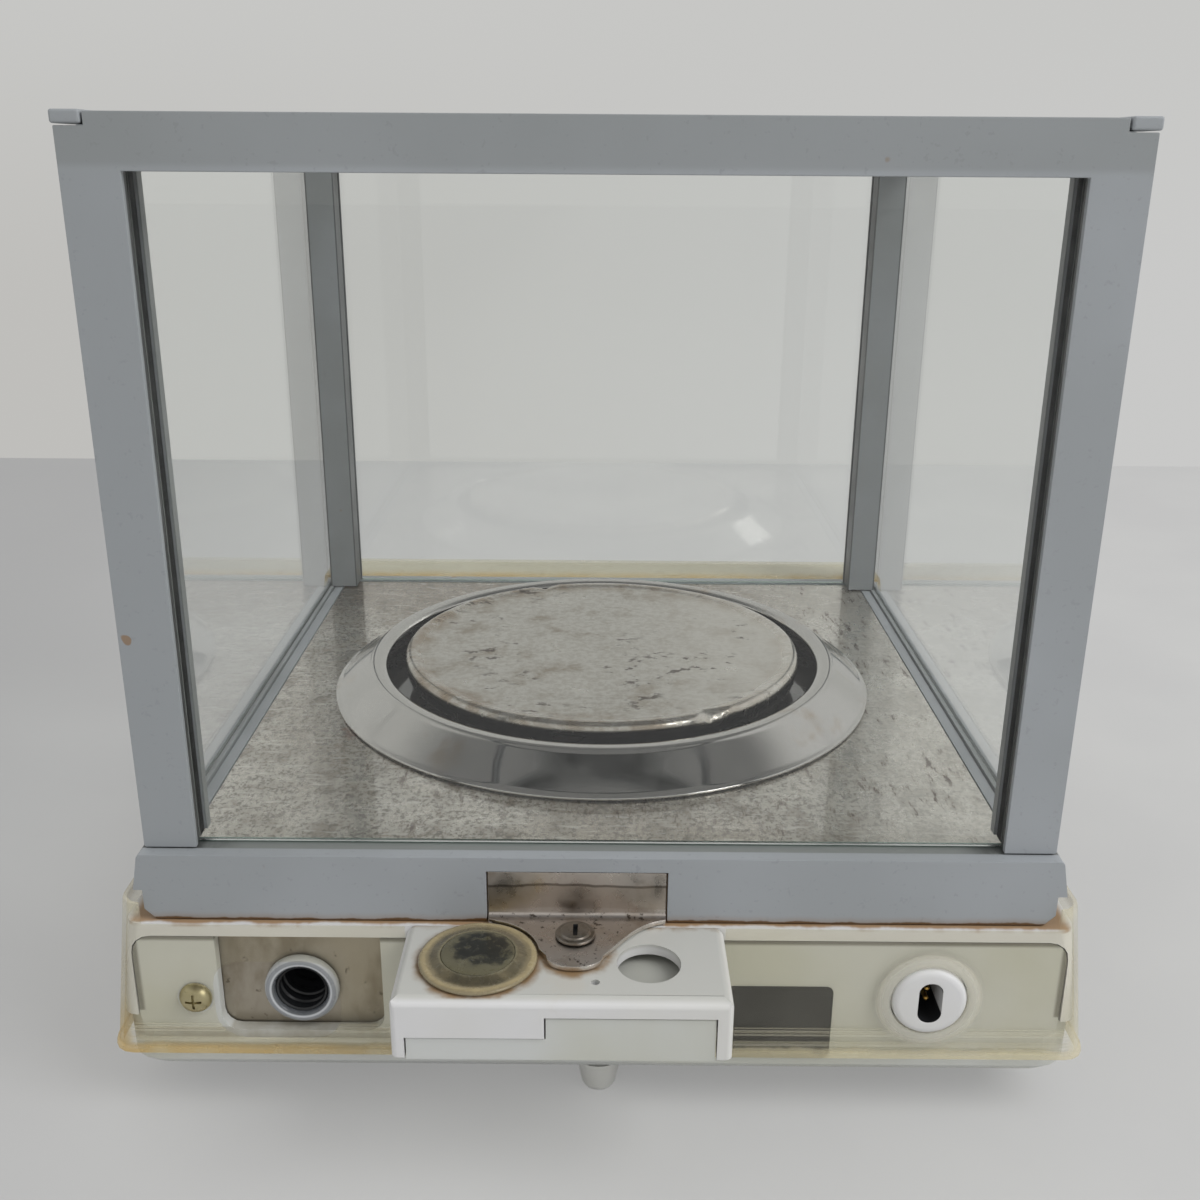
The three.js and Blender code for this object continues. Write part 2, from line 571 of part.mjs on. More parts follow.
// Skirt and floor of the shield
function baseSkirt() {
  const step = skirtBottom + skirt.stepHeight;
  const outline = outlineOf([
    [-skirtLowHalf + skirt.cornerCut, skirtBottom],
      [skirtLowHalf - skirt.cornerCut, skirtBottom],
    [skirtLowHalf, skirtBottom + skirt.cornerCut], [skirtLowHalf, step],
      [skirtWideHalf, step],
    [skirtTopHalf, skirtTop - skirt.topBevel], [skirtTopHalf - skirt.topBevel, skirtTop],
    [-skirtTopHalf + skirt.topBevel, skirtTop], [-skirtTopHalf, skirtTop - skirt.topBevel],
    [-skirtWideHalf, step], [-skirtLowHalf, step],
      [-skirtLowHalf, skirtBottom + skirt.cornerCut],
  ]);
  let shape = prismY(outline, [skirtRear, skirtFront]);
  const core = coreHalf + gap;
  shape = shape.subtract(block(both(core), [coreRear - gap, past(skirtFront)],
    [skirtBottom - overrun, deckTop + gap]));
  const inner = floorHalf + gap;
  shape = shape.subtract(block(both(inner), [floorPlate.rear - gap, floorFront + gap],
    [deckTop, past(skirtTop)]));
  // Behind the rear posts the top is level with the floor, with a channel for each side rail
  shape = shape.subtract(block(both(past(skirtWideHalf)), [frame.depth, past(skirtFront)],
    [floorTop, past(skirtTop)]));
  [-1, 1].forEach((sign) => {
    shape = shape.subtract(block(side(sign, frameHalf - sideRail.innerLip - gap, railOuter + gap),
      [frame.depth, past(skirtFront)], [railSeat, past(skirtTop)]));
    shape = shape.subtract(block(side(sign, frameHalf, railOuter + gap), [frame.faceDepth, past(frame.depth)],
      [railSeat, past(skirtTop)]));
  });
  shape = shape.subtract(block([bracketLeft - gap, bracketRight + gap],
    [skirtRear - overrun, coreRear],
    [skirtBottom - overrun, bracketTop + gap]));
  return piece('base_skirt', shape, finishes.greyPaint);
}

function floorPlateMesh() {
  const shape = block(both(floorHalf), [floorPlate.rear, floorFront],
    [deckTop + gap, floorTop])
    .subtract(rod(floorPlate.holeRadius, 0, centreY, [deckTop - overrun, past(floorTop)], roundSegments));
  return piece('floor_plate', shape, finishes.steel);
}

// Rear frame, its glass and gasket
function rearFrame() {
  const z = [frameBottom, frameTop];
  const openHalf = frame.halfWidth - frame.postWidth;
  const openZ = [frameBottom - overrun, frameTop - frame.railHeight];
  const face = prismY(roundedOutline(both(frame.halfWidth), z, frame.edgeBevel), [0, frame.faceDepth]);
  let shape = face.add(block(both(frameHalf), [frame.faceDepth / 2, frame.depth], z));
  shape = shape.subtract(block(both(openHalf), [-overrun, past(frame.depth)], openZ));
  shape = shape.subtract(block(both(openHalf + frame.channelDepth), [frame.channelRear, frame.channelFront],
    [openZ[0], openZ[1] + frame.channelDepth]));
  const capZone = frameTop - cap.height + cap.proud;
  [-1, 1].forEach((sign) => {
    shape = shape.subtract(block(side(sign, capInner - gap, past(frame.halfWidth)),
      [-overrun, past(frame.depth)], [capZone, past(frameTop)]));
  });
  shape = shape.subtract(block(both(topPaneHalf + gap), [topPaneRear - gap, past(frame.depth)],
    [topPane[0] - gap, topPane[1] + gap]));
  return piece('rear_frame', shape, finishes.greyPaint);
}

function rearGlass() {
  const half = frame.halfWidth - frame.postWidth + frame.channelDepth - gap;
  const shape = block(both(half), [frame.channelRear + gap, frame.channelRear + gap + glass.thickness],
    [frameBottom, frameTop - frame.railHeight + frame.channelDepth - gap]);
  return piece('rear_glass', shape, finishes.pane);
}

function rearGasket() {
  const half = frame.halfWidth - frame.postWidth + frame.channelDepth - gap;
  const z = [frameBottom, frameTop - frame.railHeight + frame.channelDepth - gap];
  const depth = [frame.channelRear + 2 * gap + glass.thickness, frame.channelFront - gap];
  const inside = frame.channelDepth - gasket.lip;
  const shape = block(both(half), depth, z).subtract(block(both(half - inside),
    [-overrun, past(frame.depth)], [z[0] - overrun, z[1] - inside]));
  return piece('rear_gasket', shape, finishes.rubber);
}

// Front frame: two posts and a top rail
function frontFrame() {
  const outer = frameHalf;
  const inner = outer - farFrame.postWidth;
  const bottom = floorTop + gap;
  let shape = block(both(outer), [farRear, shieldDepth], [bottom, farTop]);
  shape = shape.subtract(block(both(inner), [farRear - overrun, past(shieldDepth)],
    [bottom - overrun, farTop - farFrame.railHeight]));
  shape = shape.subtract(block(both(inner + frame.channelDepth),
    [farGlassRear - gap, farGlassRear + glass.thickness + gap],
    [bottom - overrun, farTop - farFrame.railHeight + frame.channelDepth]));
  return piece('front_frame', shape, finishes.greyPaint);
}

function frontGlass() {
  const half = frameHalf - farFrame.postWidth + frame.channelDepth - gap;
  const shape = block(both(half), [farGlassRear, farGlassRear + glass.thickness],
    [floorTop + gap, farTop - farFrame.railHeight + frame.channelDepth - gap]);
  return piece('front_glass', shape, finishes.pane);
}

// Side rails
const doorOuter = frameHalf + gap + glass.doorThickness;
const railOuter = doorOuter + sideRail.clearance + sideRail.outerLip;
const railRear = frame.depth + gap;

function lowerRail(name, sign) {
  const low = railSeat + gap;
  const base = low + sideRail.base;
  const high = low + sideRail.lipHeight;
  const grooveOuter = doorOuter + sideRail.clearance;
  let shape = block(side(sign, frameHalf, railOuter), [railRear, shieldDepth], [low, base]);
  shape = shape.add(block(side(sign, grooveOuter, railOuter), [railRear, shieldDepth], [low, high]));
  shape = shape.add(block(side(sign, frameHalf - sideRail.innerLip, frameHalf),
    [railRear, farRear - gap], [low, high]));
  return piece(name, shape, finishes.aluminium);
}

const topPane = [farTop + 3 * gap + sideRail.base / 2,
  farTop + 3 * gap + sideRail.base / 2 + glass.doorThickness];
const topPaneHalf = topRailInner + topRail.glassGroove - gap;
const topPaneRear = frame.channelFront + 2 * gap;

function upperRail(name, sign) {
  const low = farTop + gap;
  const high = low + topRail.height;
  const run = [railRear, shieldDepth];
  const grooveOuter = doorOuter + sideRail.clearance;
  let shape = block(side(sign, topRailInner, railOuter), run, [low, high]);
  shape = shape.add(block(side(sign, grooveOuter, railOuter), run, [low - topRail.lipHeight, high]));
  shape = shape.add(block(side(sign, frameHalf - sideRail.innerLip, frameHalf),
    [railRear, farRear - gap], [low - topRail.lipHeight, high]));
  shape = shape.subtract(block(side(sign, frameHalf, grooveOuter),
    [railRear - overrun, past(shieldDepth)], [low - overrun - overrun, doorTop + gap]));
  shape = shape.subtract(block(side(sign, topRailInner - overrun, topPaneHalf + gap),
    [railRear - overrun, past(shieldDepth)], [topPane[0] - gap, topPane[1] + gap]));
  return piece(name, shape, finishes.greyPaint);
}

function cornerCap(name, sign) {
  const top = frameTop + cap.proud;
  const shape = prismZ(roundedOutline(side(sign, capInner, capOuter),
    [-cap.proud, cap.depth], cap.proud * 2),
    [top - cap.height + gap, top], cap.proud);
  return piece(name, shape, finishes.greyPaint);
}

// Doors
const doorBottom = railSeat + gap + sideRail.base + door.lowGap;
const doorTop = farTop + gap + sideRail.base;
const gripRear = shieldDepth + 2 * gap;
const paneFront = gripRear + door.gripBite;

function doorGlass(name, sign) {
  const shape = block(side(sign, frameHalf + gap, doorOuter), [frame.faceDepth + gap, paneFront],
    [doorBottom, doorTop]);
  return piece(name, shape, finishes.pane);
}

function doorGrip(name, sign) {
  const centre = (frameHalf + gap + doorOuter) / 2;
  const z = [doorBottom + door.gripInset, doorTop - door.gripInset];
  const span = side(sign, centre - door.gripWidth / 2, centre + door.gripWidth / 2);
  let shape = prismZ(roundedOutline(span, [gripRear, gripRear + door.gripDepth], door.bevel), z,
    door.bevel / 2);
  shape = shape.subtract(block(side(sign, frameHalf, doorOuter + gap),
    [gripRear - overrun, paneFront + gap],
    [doorBottom - overrun, past(doorTop)]));
  return piece(name, shape, finishes.greyPaint);
}

function topDoorGlass() {
  return piece('top_door_glass', block(both(topPaneHalf), [topPaneRear, paneFront], topPane),
    finishes.pane);
}

function topDoorGrip() {
  const outline = roundedOutline([gripRear, gripRear + door.gripDepth],
    [topPane[0] - topGrip.drop + door.gripInset, topPane[1] + topGrip.rise], door.bevel);
  let shape = prismX(outline, both(topGripHalf), door.bevel / 2);
  shape = shape.subtract(block(both(past(topGripHalf)), [gripRear - overrun, paneFront + gap],
    [topPane[0] - gap, topPane[1] + gap]));
  return piece('top_door_grip', shape, finishes.greyPaint);
}

// Pan and draft ring, turned about the pan's centre line
function weighingPan() {
  const top = floorTop + pan.rise;
  const low = top - pan.skirtDrop;
  const flat = top - pan.recess;
  const under = flat - pan.thickness;
  const rollMiddle = pan.radius - pan.rollWidth / 2;
  const seat = floorTop + gap + support.flangeThickness + gap;
  const shape = turned([
    [0, flat], [pan.radius - pan.rollWidth * 1.5, flat], [pan.radius - pan.rollWidth, top - pan.recess / 2],
    [rollMiddle, top], [pan.radius - pan.rollWidth / 6, top - pan.recess],
      [pan.radius, top - 3 * pan.recess],
    [pan.radius - pan.thickness / 2, low], [pan.radius - pan.thickness * 1.5, low],
    [pan.radius - pan.thickness, top - 3 * pan.recess], [rollMiddle, under], [pan.hubRadius, under],
    [pan.hubRadius, seat], [pan.hubBore, seat], [pan.hubBore, under - pan.thickness],
      [0, under - pan.thickness],
  ]);
  return at(piece('weighing_pan', shape, finishes.steel), 0, centreY, 0);
}

function panSupport() {
  const flangeLow = floorTop + gap;
  const tip = floorTop + pan.rise - pan.recess - 2 * pan.thickness - gap;
  const foot = cellTop + 2 * gap + cell.guideThickness;
  const shape = turned([
    [0, foot], [support.stemRadius, foot], [support.stemRadius, flangeLow],
      [support.flangeRadius, flangeLow],
    [support.flangeRadius, flangeLow + support.flangeThickness],
      [support.tipRadius, flangeLow + support.flangeThickness],
    [support.tipRadius - gap, tip], [0, tip],
  ]);
  return at(piece('pan_support', shape, finishes.aluminium), 0, centreY, 0);
}

function draftRing() {
  const low = floorTop + gap;
  const top = floorTop + ring.rise;
  const lip = low + ring.footLip;
  const shape = turned([
    [ring.footRadius, low], [ring.footRadius, lip], [ring.rimRadius + ring.wall / 2, top - ring.wall / 2],
    [ring.rimRadius, top - ring.wall / 4], [ring.rimRadius - ring.wall / 4, top],
    [ring.innerRadius + ring.wall / 3, top], [ring.innerRadius, top - ring.wall / 3],
    [ring.innerRadius, top - ring.innerDrop], [ring.innerRadius + ring.wall, top - ring.innerDrop],
    [ring.innerRadius + ring.wall, top - ring.wall],
      [ring.rimRadius - ring.wall / 4, top - ring.wall * 1.25],
    [ring.footRadius - ring.wall * 1.4, low], [ring.footRadius, low],
  ], 2 * roundSegments);
  return at(piece('draft_ring', shape, finishes.brightSteel), 0, centreY, 0);
}

// Weighing cell
const cellFloor = trayBottom + tray.floor + gap;
const guideRun = [blockRear + gap, centreY + cell.carrierHalfDepth];

function cellBase() {
  const z = [cellLow, cellTop];
  let shape = block(both(cell.halfWidth), [cell.baseRear, blockFront], z);
  shape = shape.add(block(both(cell.halfWidth), [cell.baseRear, blockRear], [cellFloor, cellTop]));
  shape = shape.subtract(block(both(cell.leverHalfWidth + gap),
    [cell.baseRear - overrun, past(blockFront)],
    [leverLow - gap, leverHigh + gap]));
  return piece('cell_base', shape, finishes.aluminium);
}

function loadCarrier() {
  const shape = block(both(cell.carrierHalfWidth),
    [centreY - cell.carrierHalfDepth, centreY + cell.carrierHalfDepth],
    [cellLow, cellTop]);
  return piece('load_carrier', shape, finishes.aluminium);
}

function guide(name, low) {
  const z = [low, low + cell.guideThickness];
  const window = block(both(cell.guideWindow), [blockFront, centreY - cell.carrierHalfDepth],
    [z[0] - overrun, past(z[1])]);
  return piece(name, block(both(cell.guideHalfWidth), guideRun, z).subtract(window), finishes.stainedSteel);
}

function cellLever() {
  const shape = block(both(cell.leverHalfWidth), [magnetY - cell.leverLead,
    centreY - cell.carrierHalfDepth - gap],
    [leverLow, leverHigh]);
  return piece('cell_lever', shape, finishes.aluminium);
}

function magnetPot() {
  const low = cellFloor;
  const high = low + cell.magnetHeight;
  const floor = low + tray.floor;
  const shape = turned([
    [0, low], [cell.magnetRadius, low], [cell.magnetRadius, high], [cell.gapOuter, high],
      [cell.gapOuter, floor],
    [cell.gapInner, floor], [cell.gapInner, high], [0, high],
  ], smallSegments);
  return at(piece('magnet_pot', shape, finishes.stainedSteel), 0, magnetY, 0);
}

function cellCoil() {
  const high = leverLow - gap;
  const low = high - cell.coilHeight;
  const shape = turned([
    [cell.coilInner, low], [cell.coilOuter, low], [cell.coilOuter, high],
      [cell.coilInner, high], [cell.coilInner, low],
  ], smallSegments);
  return at(piece('cell_coil', shape, finishes.copper), 0, magnetY, 0);
}

// Rear fittings
function lockBracket() {
  const face = coreRear - gap;
  const seat = hoodTop + gap;
  const profile = outlineOf([
    [face, bracketTop], [face, seat], [-bracket.tipReach, seat],
      [-bracket.tipReach, seat + bracket.thickness],
    [face - 2 * bracket.thickness, seat + bracket.thickness],
    [face - bracket.thickness, seat + 2 * bracket.thickness], [face - bracket.thickness, bracketTop],
  ]);
  const plan = new THREE.Shape();
  const neck = -bracket.tipReach + bracket.tipHalfWidth * bracket.tipShare;
  const bend = face - 2 * bracket.thickness;
  const tipLeft = bracket.tipX - bracket.tipHalfWidth;
  const tipRight = bracket.tipX + bracket.tipHalfWidth;
  const [outerShare, innerShare] = bracket.flankShares;
  const [outerReach, innerReach] = bracket.flankReaches;
  plan.moveTo(bracketLeft, past(face));
  plan.lineTo(bracketLeft, bend);
  plan.bezierCurveTo(bracketLeft + (tipLeft - bracketLeft) * outerShare, -outerReach,
    bracketLeft + (tipLeft - bracketLeft) * innerShare, -innerReach, tipLeft, neck);
  plan.bezierCurveTo(tipLeft, -bracket.tipReach, tipRight, -bracket.tipReach, tipRight, neck);
  plan.bezierCurveTo(bracketRight + (tipRight - bracketRight) * innerShare, -innerReach,
    bracketRight + (tipRight - bracketRight) * outerShare, -outerReach, bracketRight, bend);
  plan.lineTo(bracketRight, past(face));
  plan.closePath();
  const shape = prismX(profile, [bracketLeft, bracketRight])
    .intersect(prismZ(plan, [seat - overrun, past(bracketTop)]))
    .subtract(rod(lock.shankRadius + gap, bracket.tipX, lock.y, [seat - overrun, past(seat)]))
    .subtract(rod(bubble.radius + gap, bubble.x, bubble.y, [seat - overrun, past(seat)], roundSegments));
  return piece('lock_bracket', shape, finishes.stainedSteel);
}

function lockScrew() {
  const seat = hoodTop + 2 * gap + bracket.thickness;
  const head = turned([
    [0, seat - lock.shankLength], [lock.shankRadius, seat - lock.shankLength], [lock.shankRadius, seat],
    [lock.radius, seat], [lock.radius, seat + lock.head * 0.7],
      [lock.radius * 0.85, seat + lock.head], [0, seat + lock.head],
  ], smallSegments);
  const slot = block(both(lock.slotWidth / 2), both(lock.radius * 0.45),
    [seat + lock.head - lock.slotDepth, past(seat + lock.head)]);
  return at(piece('lock_screw', head.subtract(slot), finishes.stainedSteel), bracket.tipX, lock.y, 0);
}

function levelBody() {
  const seat = hoodTop + gap;
  const bottom = hoodTop - bubble.drop;
  const shape = turned([
    [0, bottom], [bubble.bodyRadius, bottom], [bubble.bodyRadius, seat], [bubble.radius, seat],
    [bubble.radius - bubble.proud / 4, seat + bubble.proud * 0.7],
      [bubble.radius - bubble.proud, seat + bubble.proud],
    [bubble.lensRadius + gap, seat + bubble.proud * 0.6], [bubble.lensRadius + gap, bottom + bubble.floor],
    [0, bottom + bubble.floor],
  ]);
  return at(piece('level_body', shape, finishes.amber), bubble.x, bubble.y, 0);
}

function levelLens() {
  const low = hoodTop - bubble.drop + bubble.floor + gap;
  const high = hoodTop + gap + bubble.proud * 0.6;
  const shape = turned([
    [0, low], [bubble.lensRadius, low], [bubble.lensRadius, high],
      [bubble.lensRadius * 0.7, high + bubble.proud * 0.3],
    [0, high + bubble.proud * 0.4],
  ], smallSegments);
  return at(piece('level_lens', shape, finishes.pane), bubble.x, bubble.y, 0);
}

const plateRear = -body.rearReach + panel.recess + body.wall + gap;

function interfacePlate() {
  const z = [plateLow - plate.overlap, panelTop - gap];
  const shape = block([plateLeft - plate.overlap, plateRight + plate.overlap],
    [plateRear, plateRear + plate.thickness], z)
    .subtract(rodAlongY(grommet.neck + gap, grommetX, grommetZ, both(past(body.rearReach)),
      roundSegments));
  return piece('interface_plate', shape, finishes.stainedSteel);
}

function interfaceGrommet() {
  const face = plateRear - gap;
  const front = face - grommet.flange;
  const rear = front + grommet.length;
  const shape = turnedAlongY([
    [grommet.bore, front + gap], [grommet.bore + gap, front], [grommet.radius - grommet.flange / 3, front],
    [grommet.radius, front + grommet.flange / 3], [grommet.radius, face],
      [grommet.neck, face], [grommet.neck, rear],
    [grommet.bore, rear], [grommet.bore, front + gap],
  ]);
  return at(piece('interface_grommet', shape, finishes.milky), grommetX, 0, grommetZ);
}

function interfaceSocket() {
  const rear = plateRear - gap - grommet.flange + grommet.length + gap;
  const ribs = [0, 1, 2].flatMap((i) => {
    const y = rear + (i * (socket.length - socket.floor)) / 3;
    return [[socket.bore - i * socket.step, y],
      [socket.bore - i * socket.step, y + (socket.length - socket.floor) / 3]];
  });
  const back = rear + socket.length;
  const shape = turnedAlongY([
    [0, back], [socket.radius, back], [socket.radius, rear], ...ribs, [0, back - socket.floor],
  ], smallSegments);
  return at(piece('interface_socket', shape, finishes.darkPlastic), grommetX, 0, grommetZ);
}

function inletBoss() {
  const front = -body.rearReach - inlet.reach;
  const back = front + inlet.length;
  const face = turnedAlongY([
    [0, front], [inlet.radius - gap * 2, front], [inlet.radius, front + gap * 2],
      [inlet.radius, back], [0, back],
  ]);
  const slot = prismY(roundedOutline(both(inlet.slotHalfWidth), both(inlet.slotHalfHeight),
    inlet.slotHalfWidth * 0.96),
    [front - overrun, back - inlet.floor]);
  let shape = face.subtract(slot);
  [-1, 1].forEach((sign) => {
    shape = shape.subtract(rodAlongY(inlet.pinRadius + gap, 0, (sign * inlet.pinPitch) / 2,
      [front, past(back)],
      pinSegments));
  });
  return at(piece('inlet_boss', shape, finishes.whitePlastic), inletX, 0, inletZ);
}

function inletPin(name, sign) {
  const back = -body.rearReach - inlet.reach + inlet.length;
  const shape = rodAlongY(inlet.pinRadius, 0, (sign * inlet.pinPitch) / 2, [back - inlet.pinLength, back],
    pinSegments);
  return at(piece(name, shape, finishes.brass), inletX, 0, inletZ);
}

function panelScrewMesh() {
  const seat = -body.rearReach + panel.recess - gap;
  const front = seat - panelScrew.head;
  const head = turnedAlongY([
    [0, front], [panelScrew.headRadius * 0.55, front + panelScrew.head * 0.12],
    [panelScrew.headRadius * 0.9, front + panelScrew.head * 0.45], [panelScrew.headRadius, seat],
    [panelScrew.shankRadius, seat], [panelScrew.shankRadius, seat + panelScrew.shankLength],
      [0, seat + panelScrew.shankLength],
  ], smallSegments);
  const arm = panelScrew.headRadius * 0.5;
  const depth = [front - overrun, front + panelScrew.head * 0.6];
  const cross = block(both(panelScrew.crossWidth / 2), depth, both(arm)).add(block(both(arm), depth,
    both(panelScrew.crossWidth / 2)));
  return at(piece('panel_screw', head.subtract(cross), finishes.zinc), panelScrewX, 0, panelScrewZ);
}

function ratingPlate() {
  const seat = -body.rearReach + panel.recess;
  const left = hood.right + label.space;
  const low = trayBottom + label.rise;
  const shape = block([left, left + label.length], [seat - label.thickness, seat],
    [low, low + label.height]);
  return piece('rating_plate', shape, finishes.darkPlastic);
}

// Console pieces, in a group that lies on the slope
function consoleGroup() {
  const group = new THREE.Group();
  group.position.set(0, ledgeEnd, deckTop);
  group.rotation.x = -slopeAngle;
  const pane = prismZ(roundedOutline(both(windowPane.halfWidth),
    [windowPane.from, windowPane.from + windowPane.length],
    windowPane.radius), [-windowPane.thickness, 0]);
  group.add(piece('display_window', pane, finishes.pane));
  const screenTop = -Math.max(body.wall, windowPane.thickness) - gap;
  const screen = block(both(display.halfWidth),
    [windowPane.from + display.margin, windowPane.from + windowPane.length - display.margin],
    [screenTop - display.thickness, screenTop]);
  group.add(piece('display_panel', screen, finishes.lcd));
  const boardTop = screenTop - Math.max(display.thickness,
    keyRow.thickness + keyRow.travel - body.wall) - gap;
  const card = block(both(display.halfWidth + display.boardMargin),
    [windowPane.from + display.margin, keyFrom + keyRow.length],
      [boardTop - display.boardThickness, boardTop]);
  group.add(piece('display_board', card, finishes.circuit));
  Object.entries(keySpans).forEach(([name, span]) => {
    const cap = prismZ(roundedOutline(span, [keyFrom, keyFrom + keyRow.length], keyRow.radius),
      [-keyRow.thickness, 0]);
    group.add(piece(name, cap, finishes.greyPlastic));
  });
  return group;
}

// Feet
function rearFootMesh() {
  const high = trayBottom - gap;
  const shape = turned([
    [0, 0], [rearFoot.footRadius, 0], [rearFoot.topRadius, high], [rearFoot.spigotRadius, high],
    [rearFoot.spigotRadius, high + gap + rearFoot.spigot], [0, high + gap + rearFoot.spigot],
  ], smallSegments);
  return at(piece('rear_foot', shape, finishes.paleRubber), 0, rearFoot.y, 0);
}

function footWheel(name, sign) {
  const low = levelFoot.padThickness + gap;
  const high = low + levelFoot.wheelThickness;
  const rim = new THREE.Shape();
  const steps = levelFoot.knurls * 2;
  for (let i = 0; i < steps; i += 1) {
    const radius = levelFoot.wheelRadius * (i % 2 === 0 ? 1 : 1 - levelFoot.knurlShare);
    const angle = (i / steps) * 4 * quarter;
    const corner = [radius * Math.cos(angle), radius * Math.sin(angle)];
    if (i === 0) {
      rim.moveTo(...corner);
    } else {
      rim.lineTo(...corner);
    }
  }
  rim.closePath();
  const shape = prismZ(rim, [low, high]).add(rod(levelFoot.spindleRadius, 0, 0,
    [low, high + levelFoot.spindle]));
  return at(piece(name, shape, finishes.darkPlastic), sign * levelFootX, levelFootY, 0);
}

function footPad(name, sign) {
  const shape = turned([
    [0, 0], [levelFoot.padRadius * 0.9, 0], [levelFoot.padRadius, levelFoot.padThickness * 0.3],
    [levelFoot.padRadius, levelFoot.padThickness], [0, levelFoot.padThickness],
  ], smallSegments);
  return at(piece(name, shape, finishes.rubber), sign * levelFootX, levelFootY, 0);
}

// Board and case screws
function mainBoard() {
  const low = trayBottom + board.standHeight + gap;
  return piece('main_board', block([boardLeft, boardRight], [board.rear, boardFront],
    [low, low + board.thickness]),
    finishes.circuit);
}

function caseScrewMesh(name, sign) {
  const head = trayBottom + caseScrew.head;
  const shape = turned([
    [0, trayBottom], [caseScrew.headRadius, trayBottom],
      [caseScrew.headRadius, head], [caseScrew.shankRadius, head],
    [caseScrew.shankRadius, head + caseScrew.length], [0, head + caseScrew.length],
  ], smallSegments);
  return at(piece(name, shape, finishes.zinc), sign * caseScrewX, caseScrew.y, 0);
}

// Assembly
const balance = new THREE.Group();
balance.name = 'precision_balance';

const housingGroup = new THREE.Group();
housingGroup.add(baseTray(), upperHousing(), levelShelf(), protectiveCover(), mainBoard(), rearFootMesh());
housingGroup.add(caseScrewMesh('case_screw_left', -1), caseScrewMesh('case_screw_right', 1));
housingGroup.add(footWheel('foot_wheel_left', -1), footWheel('foot_wheel_right', 1));
housingGroup.add(footPad('foot_pad_left', -1), footPad('foot_pad_right', 1), consoleGroup());

const rearGroup = new THREE.Group();
rearGroup.add(lockBracket(), lockScrew(), levelBody(), levelLens(), interfacePlate(), interfaceGrommet());
rearGroup.add(interfaceSocket(), inletBoss(), inletPin('inlet_pin_upper', 1),
  inletPin('inlet_pin_lower', -1));
rearGroup.add(panelScrewMesh(), ratingPlate());

const shieldGroup = new THREE.Group();
shieldGroup.add(baseSkirt(), floorPlateMesh(), rearFrame(), rearGlass(), rearGasket(), frontFrame(),
  frontGlass());
shieldGroup.add(lowerRail('lower_rail_left', -1), lowerRail('lower_rail_right', 1));
shieldGroup.add(upperRail('upper_rail_left', -1), upperRail('upper_rail_right', 1));
shieldGroup.add(cornerCap('corner_cap_left', -1), cornerCap('corner_cap_right', 1));
shieldGroup.add(doorGlass('left_door_glass', -1), doorGrip('left_door_grip', -1));
shieldGroup.add(doorGlass('right_door_glass', 1), doorGrip('right_door_grip', 1));
shieldGroup.add(topDoorGlass(), topDoorGrip());

const weighingGroup = new THREE.Group();
weighingGroup.add(weighingPan(), panSupport(), draftRing(), cellBase(), loadCarrier(), cellLever(),
  magnetPot(), cellCoil());
weighingGroup.add(guide('upper_guide', cellTop + gap), guide('lower_guide',
  cellLow - gap - cell.guideThickness));

balance.add(housingGroup, rearGroup, shieldGroup, weighingGroup);

// The footprint is centred on the origin
const frontReach = bodyFront + gap + cover.thickness + cover.lip;
balance.position.y = (hood.reach - frontReach) / 2;
balance.updateMatrixWorld(true);

export default balance;
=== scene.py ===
import json
from math import cos, pi, radians, sin

import bmesh
import bpy
from mathutils import Matrix, Vector


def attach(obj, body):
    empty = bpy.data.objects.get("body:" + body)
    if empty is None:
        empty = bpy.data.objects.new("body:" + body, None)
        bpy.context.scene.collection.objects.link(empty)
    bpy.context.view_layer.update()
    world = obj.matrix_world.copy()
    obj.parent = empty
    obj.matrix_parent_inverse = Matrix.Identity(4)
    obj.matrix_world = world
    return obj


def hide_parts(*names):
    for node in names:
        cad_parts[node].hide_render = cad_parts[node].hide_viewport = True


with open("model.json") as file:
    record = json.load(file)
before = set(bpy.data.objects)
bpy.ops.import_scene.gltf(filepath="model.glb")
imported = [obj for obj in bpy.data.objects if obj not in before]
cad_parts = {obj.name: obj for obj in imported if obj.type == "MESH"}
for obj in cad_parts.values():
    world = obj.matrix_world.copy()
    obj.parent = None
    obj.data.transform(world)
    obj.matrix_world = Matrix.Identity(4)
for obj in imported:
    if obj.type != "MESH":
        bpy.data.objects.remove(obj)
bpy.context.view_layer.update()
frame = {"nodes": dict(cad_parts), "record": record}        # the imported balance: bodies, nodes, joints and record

# Sizes are in millimetres. y is measured from the rear face of the glass shield, z from the table.
mm = 0.001
rearFace = -107.15
# Middles of the round pieces: (x, y) of the upright ones, (x, z) of those that look to the rear
panPlace, levelPlace, lockPlace, footPlace = (0, 93.8), (-23, -15.2), (-4.7, -8.9), (0, 4.5)
socketPlace, inletPlace, screwPlace = (-60.6, 27.8), (66.45, 28.4), (-81.7, 27)


def spot(x, y, z):
    return Vector((x, y + rearFace, z)) * mm


# Working in edit mode
def clearSelection():
    if bpy.context.object and bpy.context.object.mode != "OBJECT":
        bpy.ops.object.mode_set(mode="OBJECT")
    bpy.ops.object.select_all(action="DESELECT")


def holdPiece(piece):
    clearSelection()
    piece.select_set(True)
    bpy.context.view_layer.objects.active = piece


def openEdit(piece, kind="FACE"):
    holdPiece(piece)
    bpy.ops.object.mode_set(mode="EDIT")
    bpy.ops.mesh.select_mode(type=kind)
    bpy.ops.mesh.select_all(action="SELECT")


def closeEdit():
    bpy.ops.object.mode_set(mode="OBJECT")


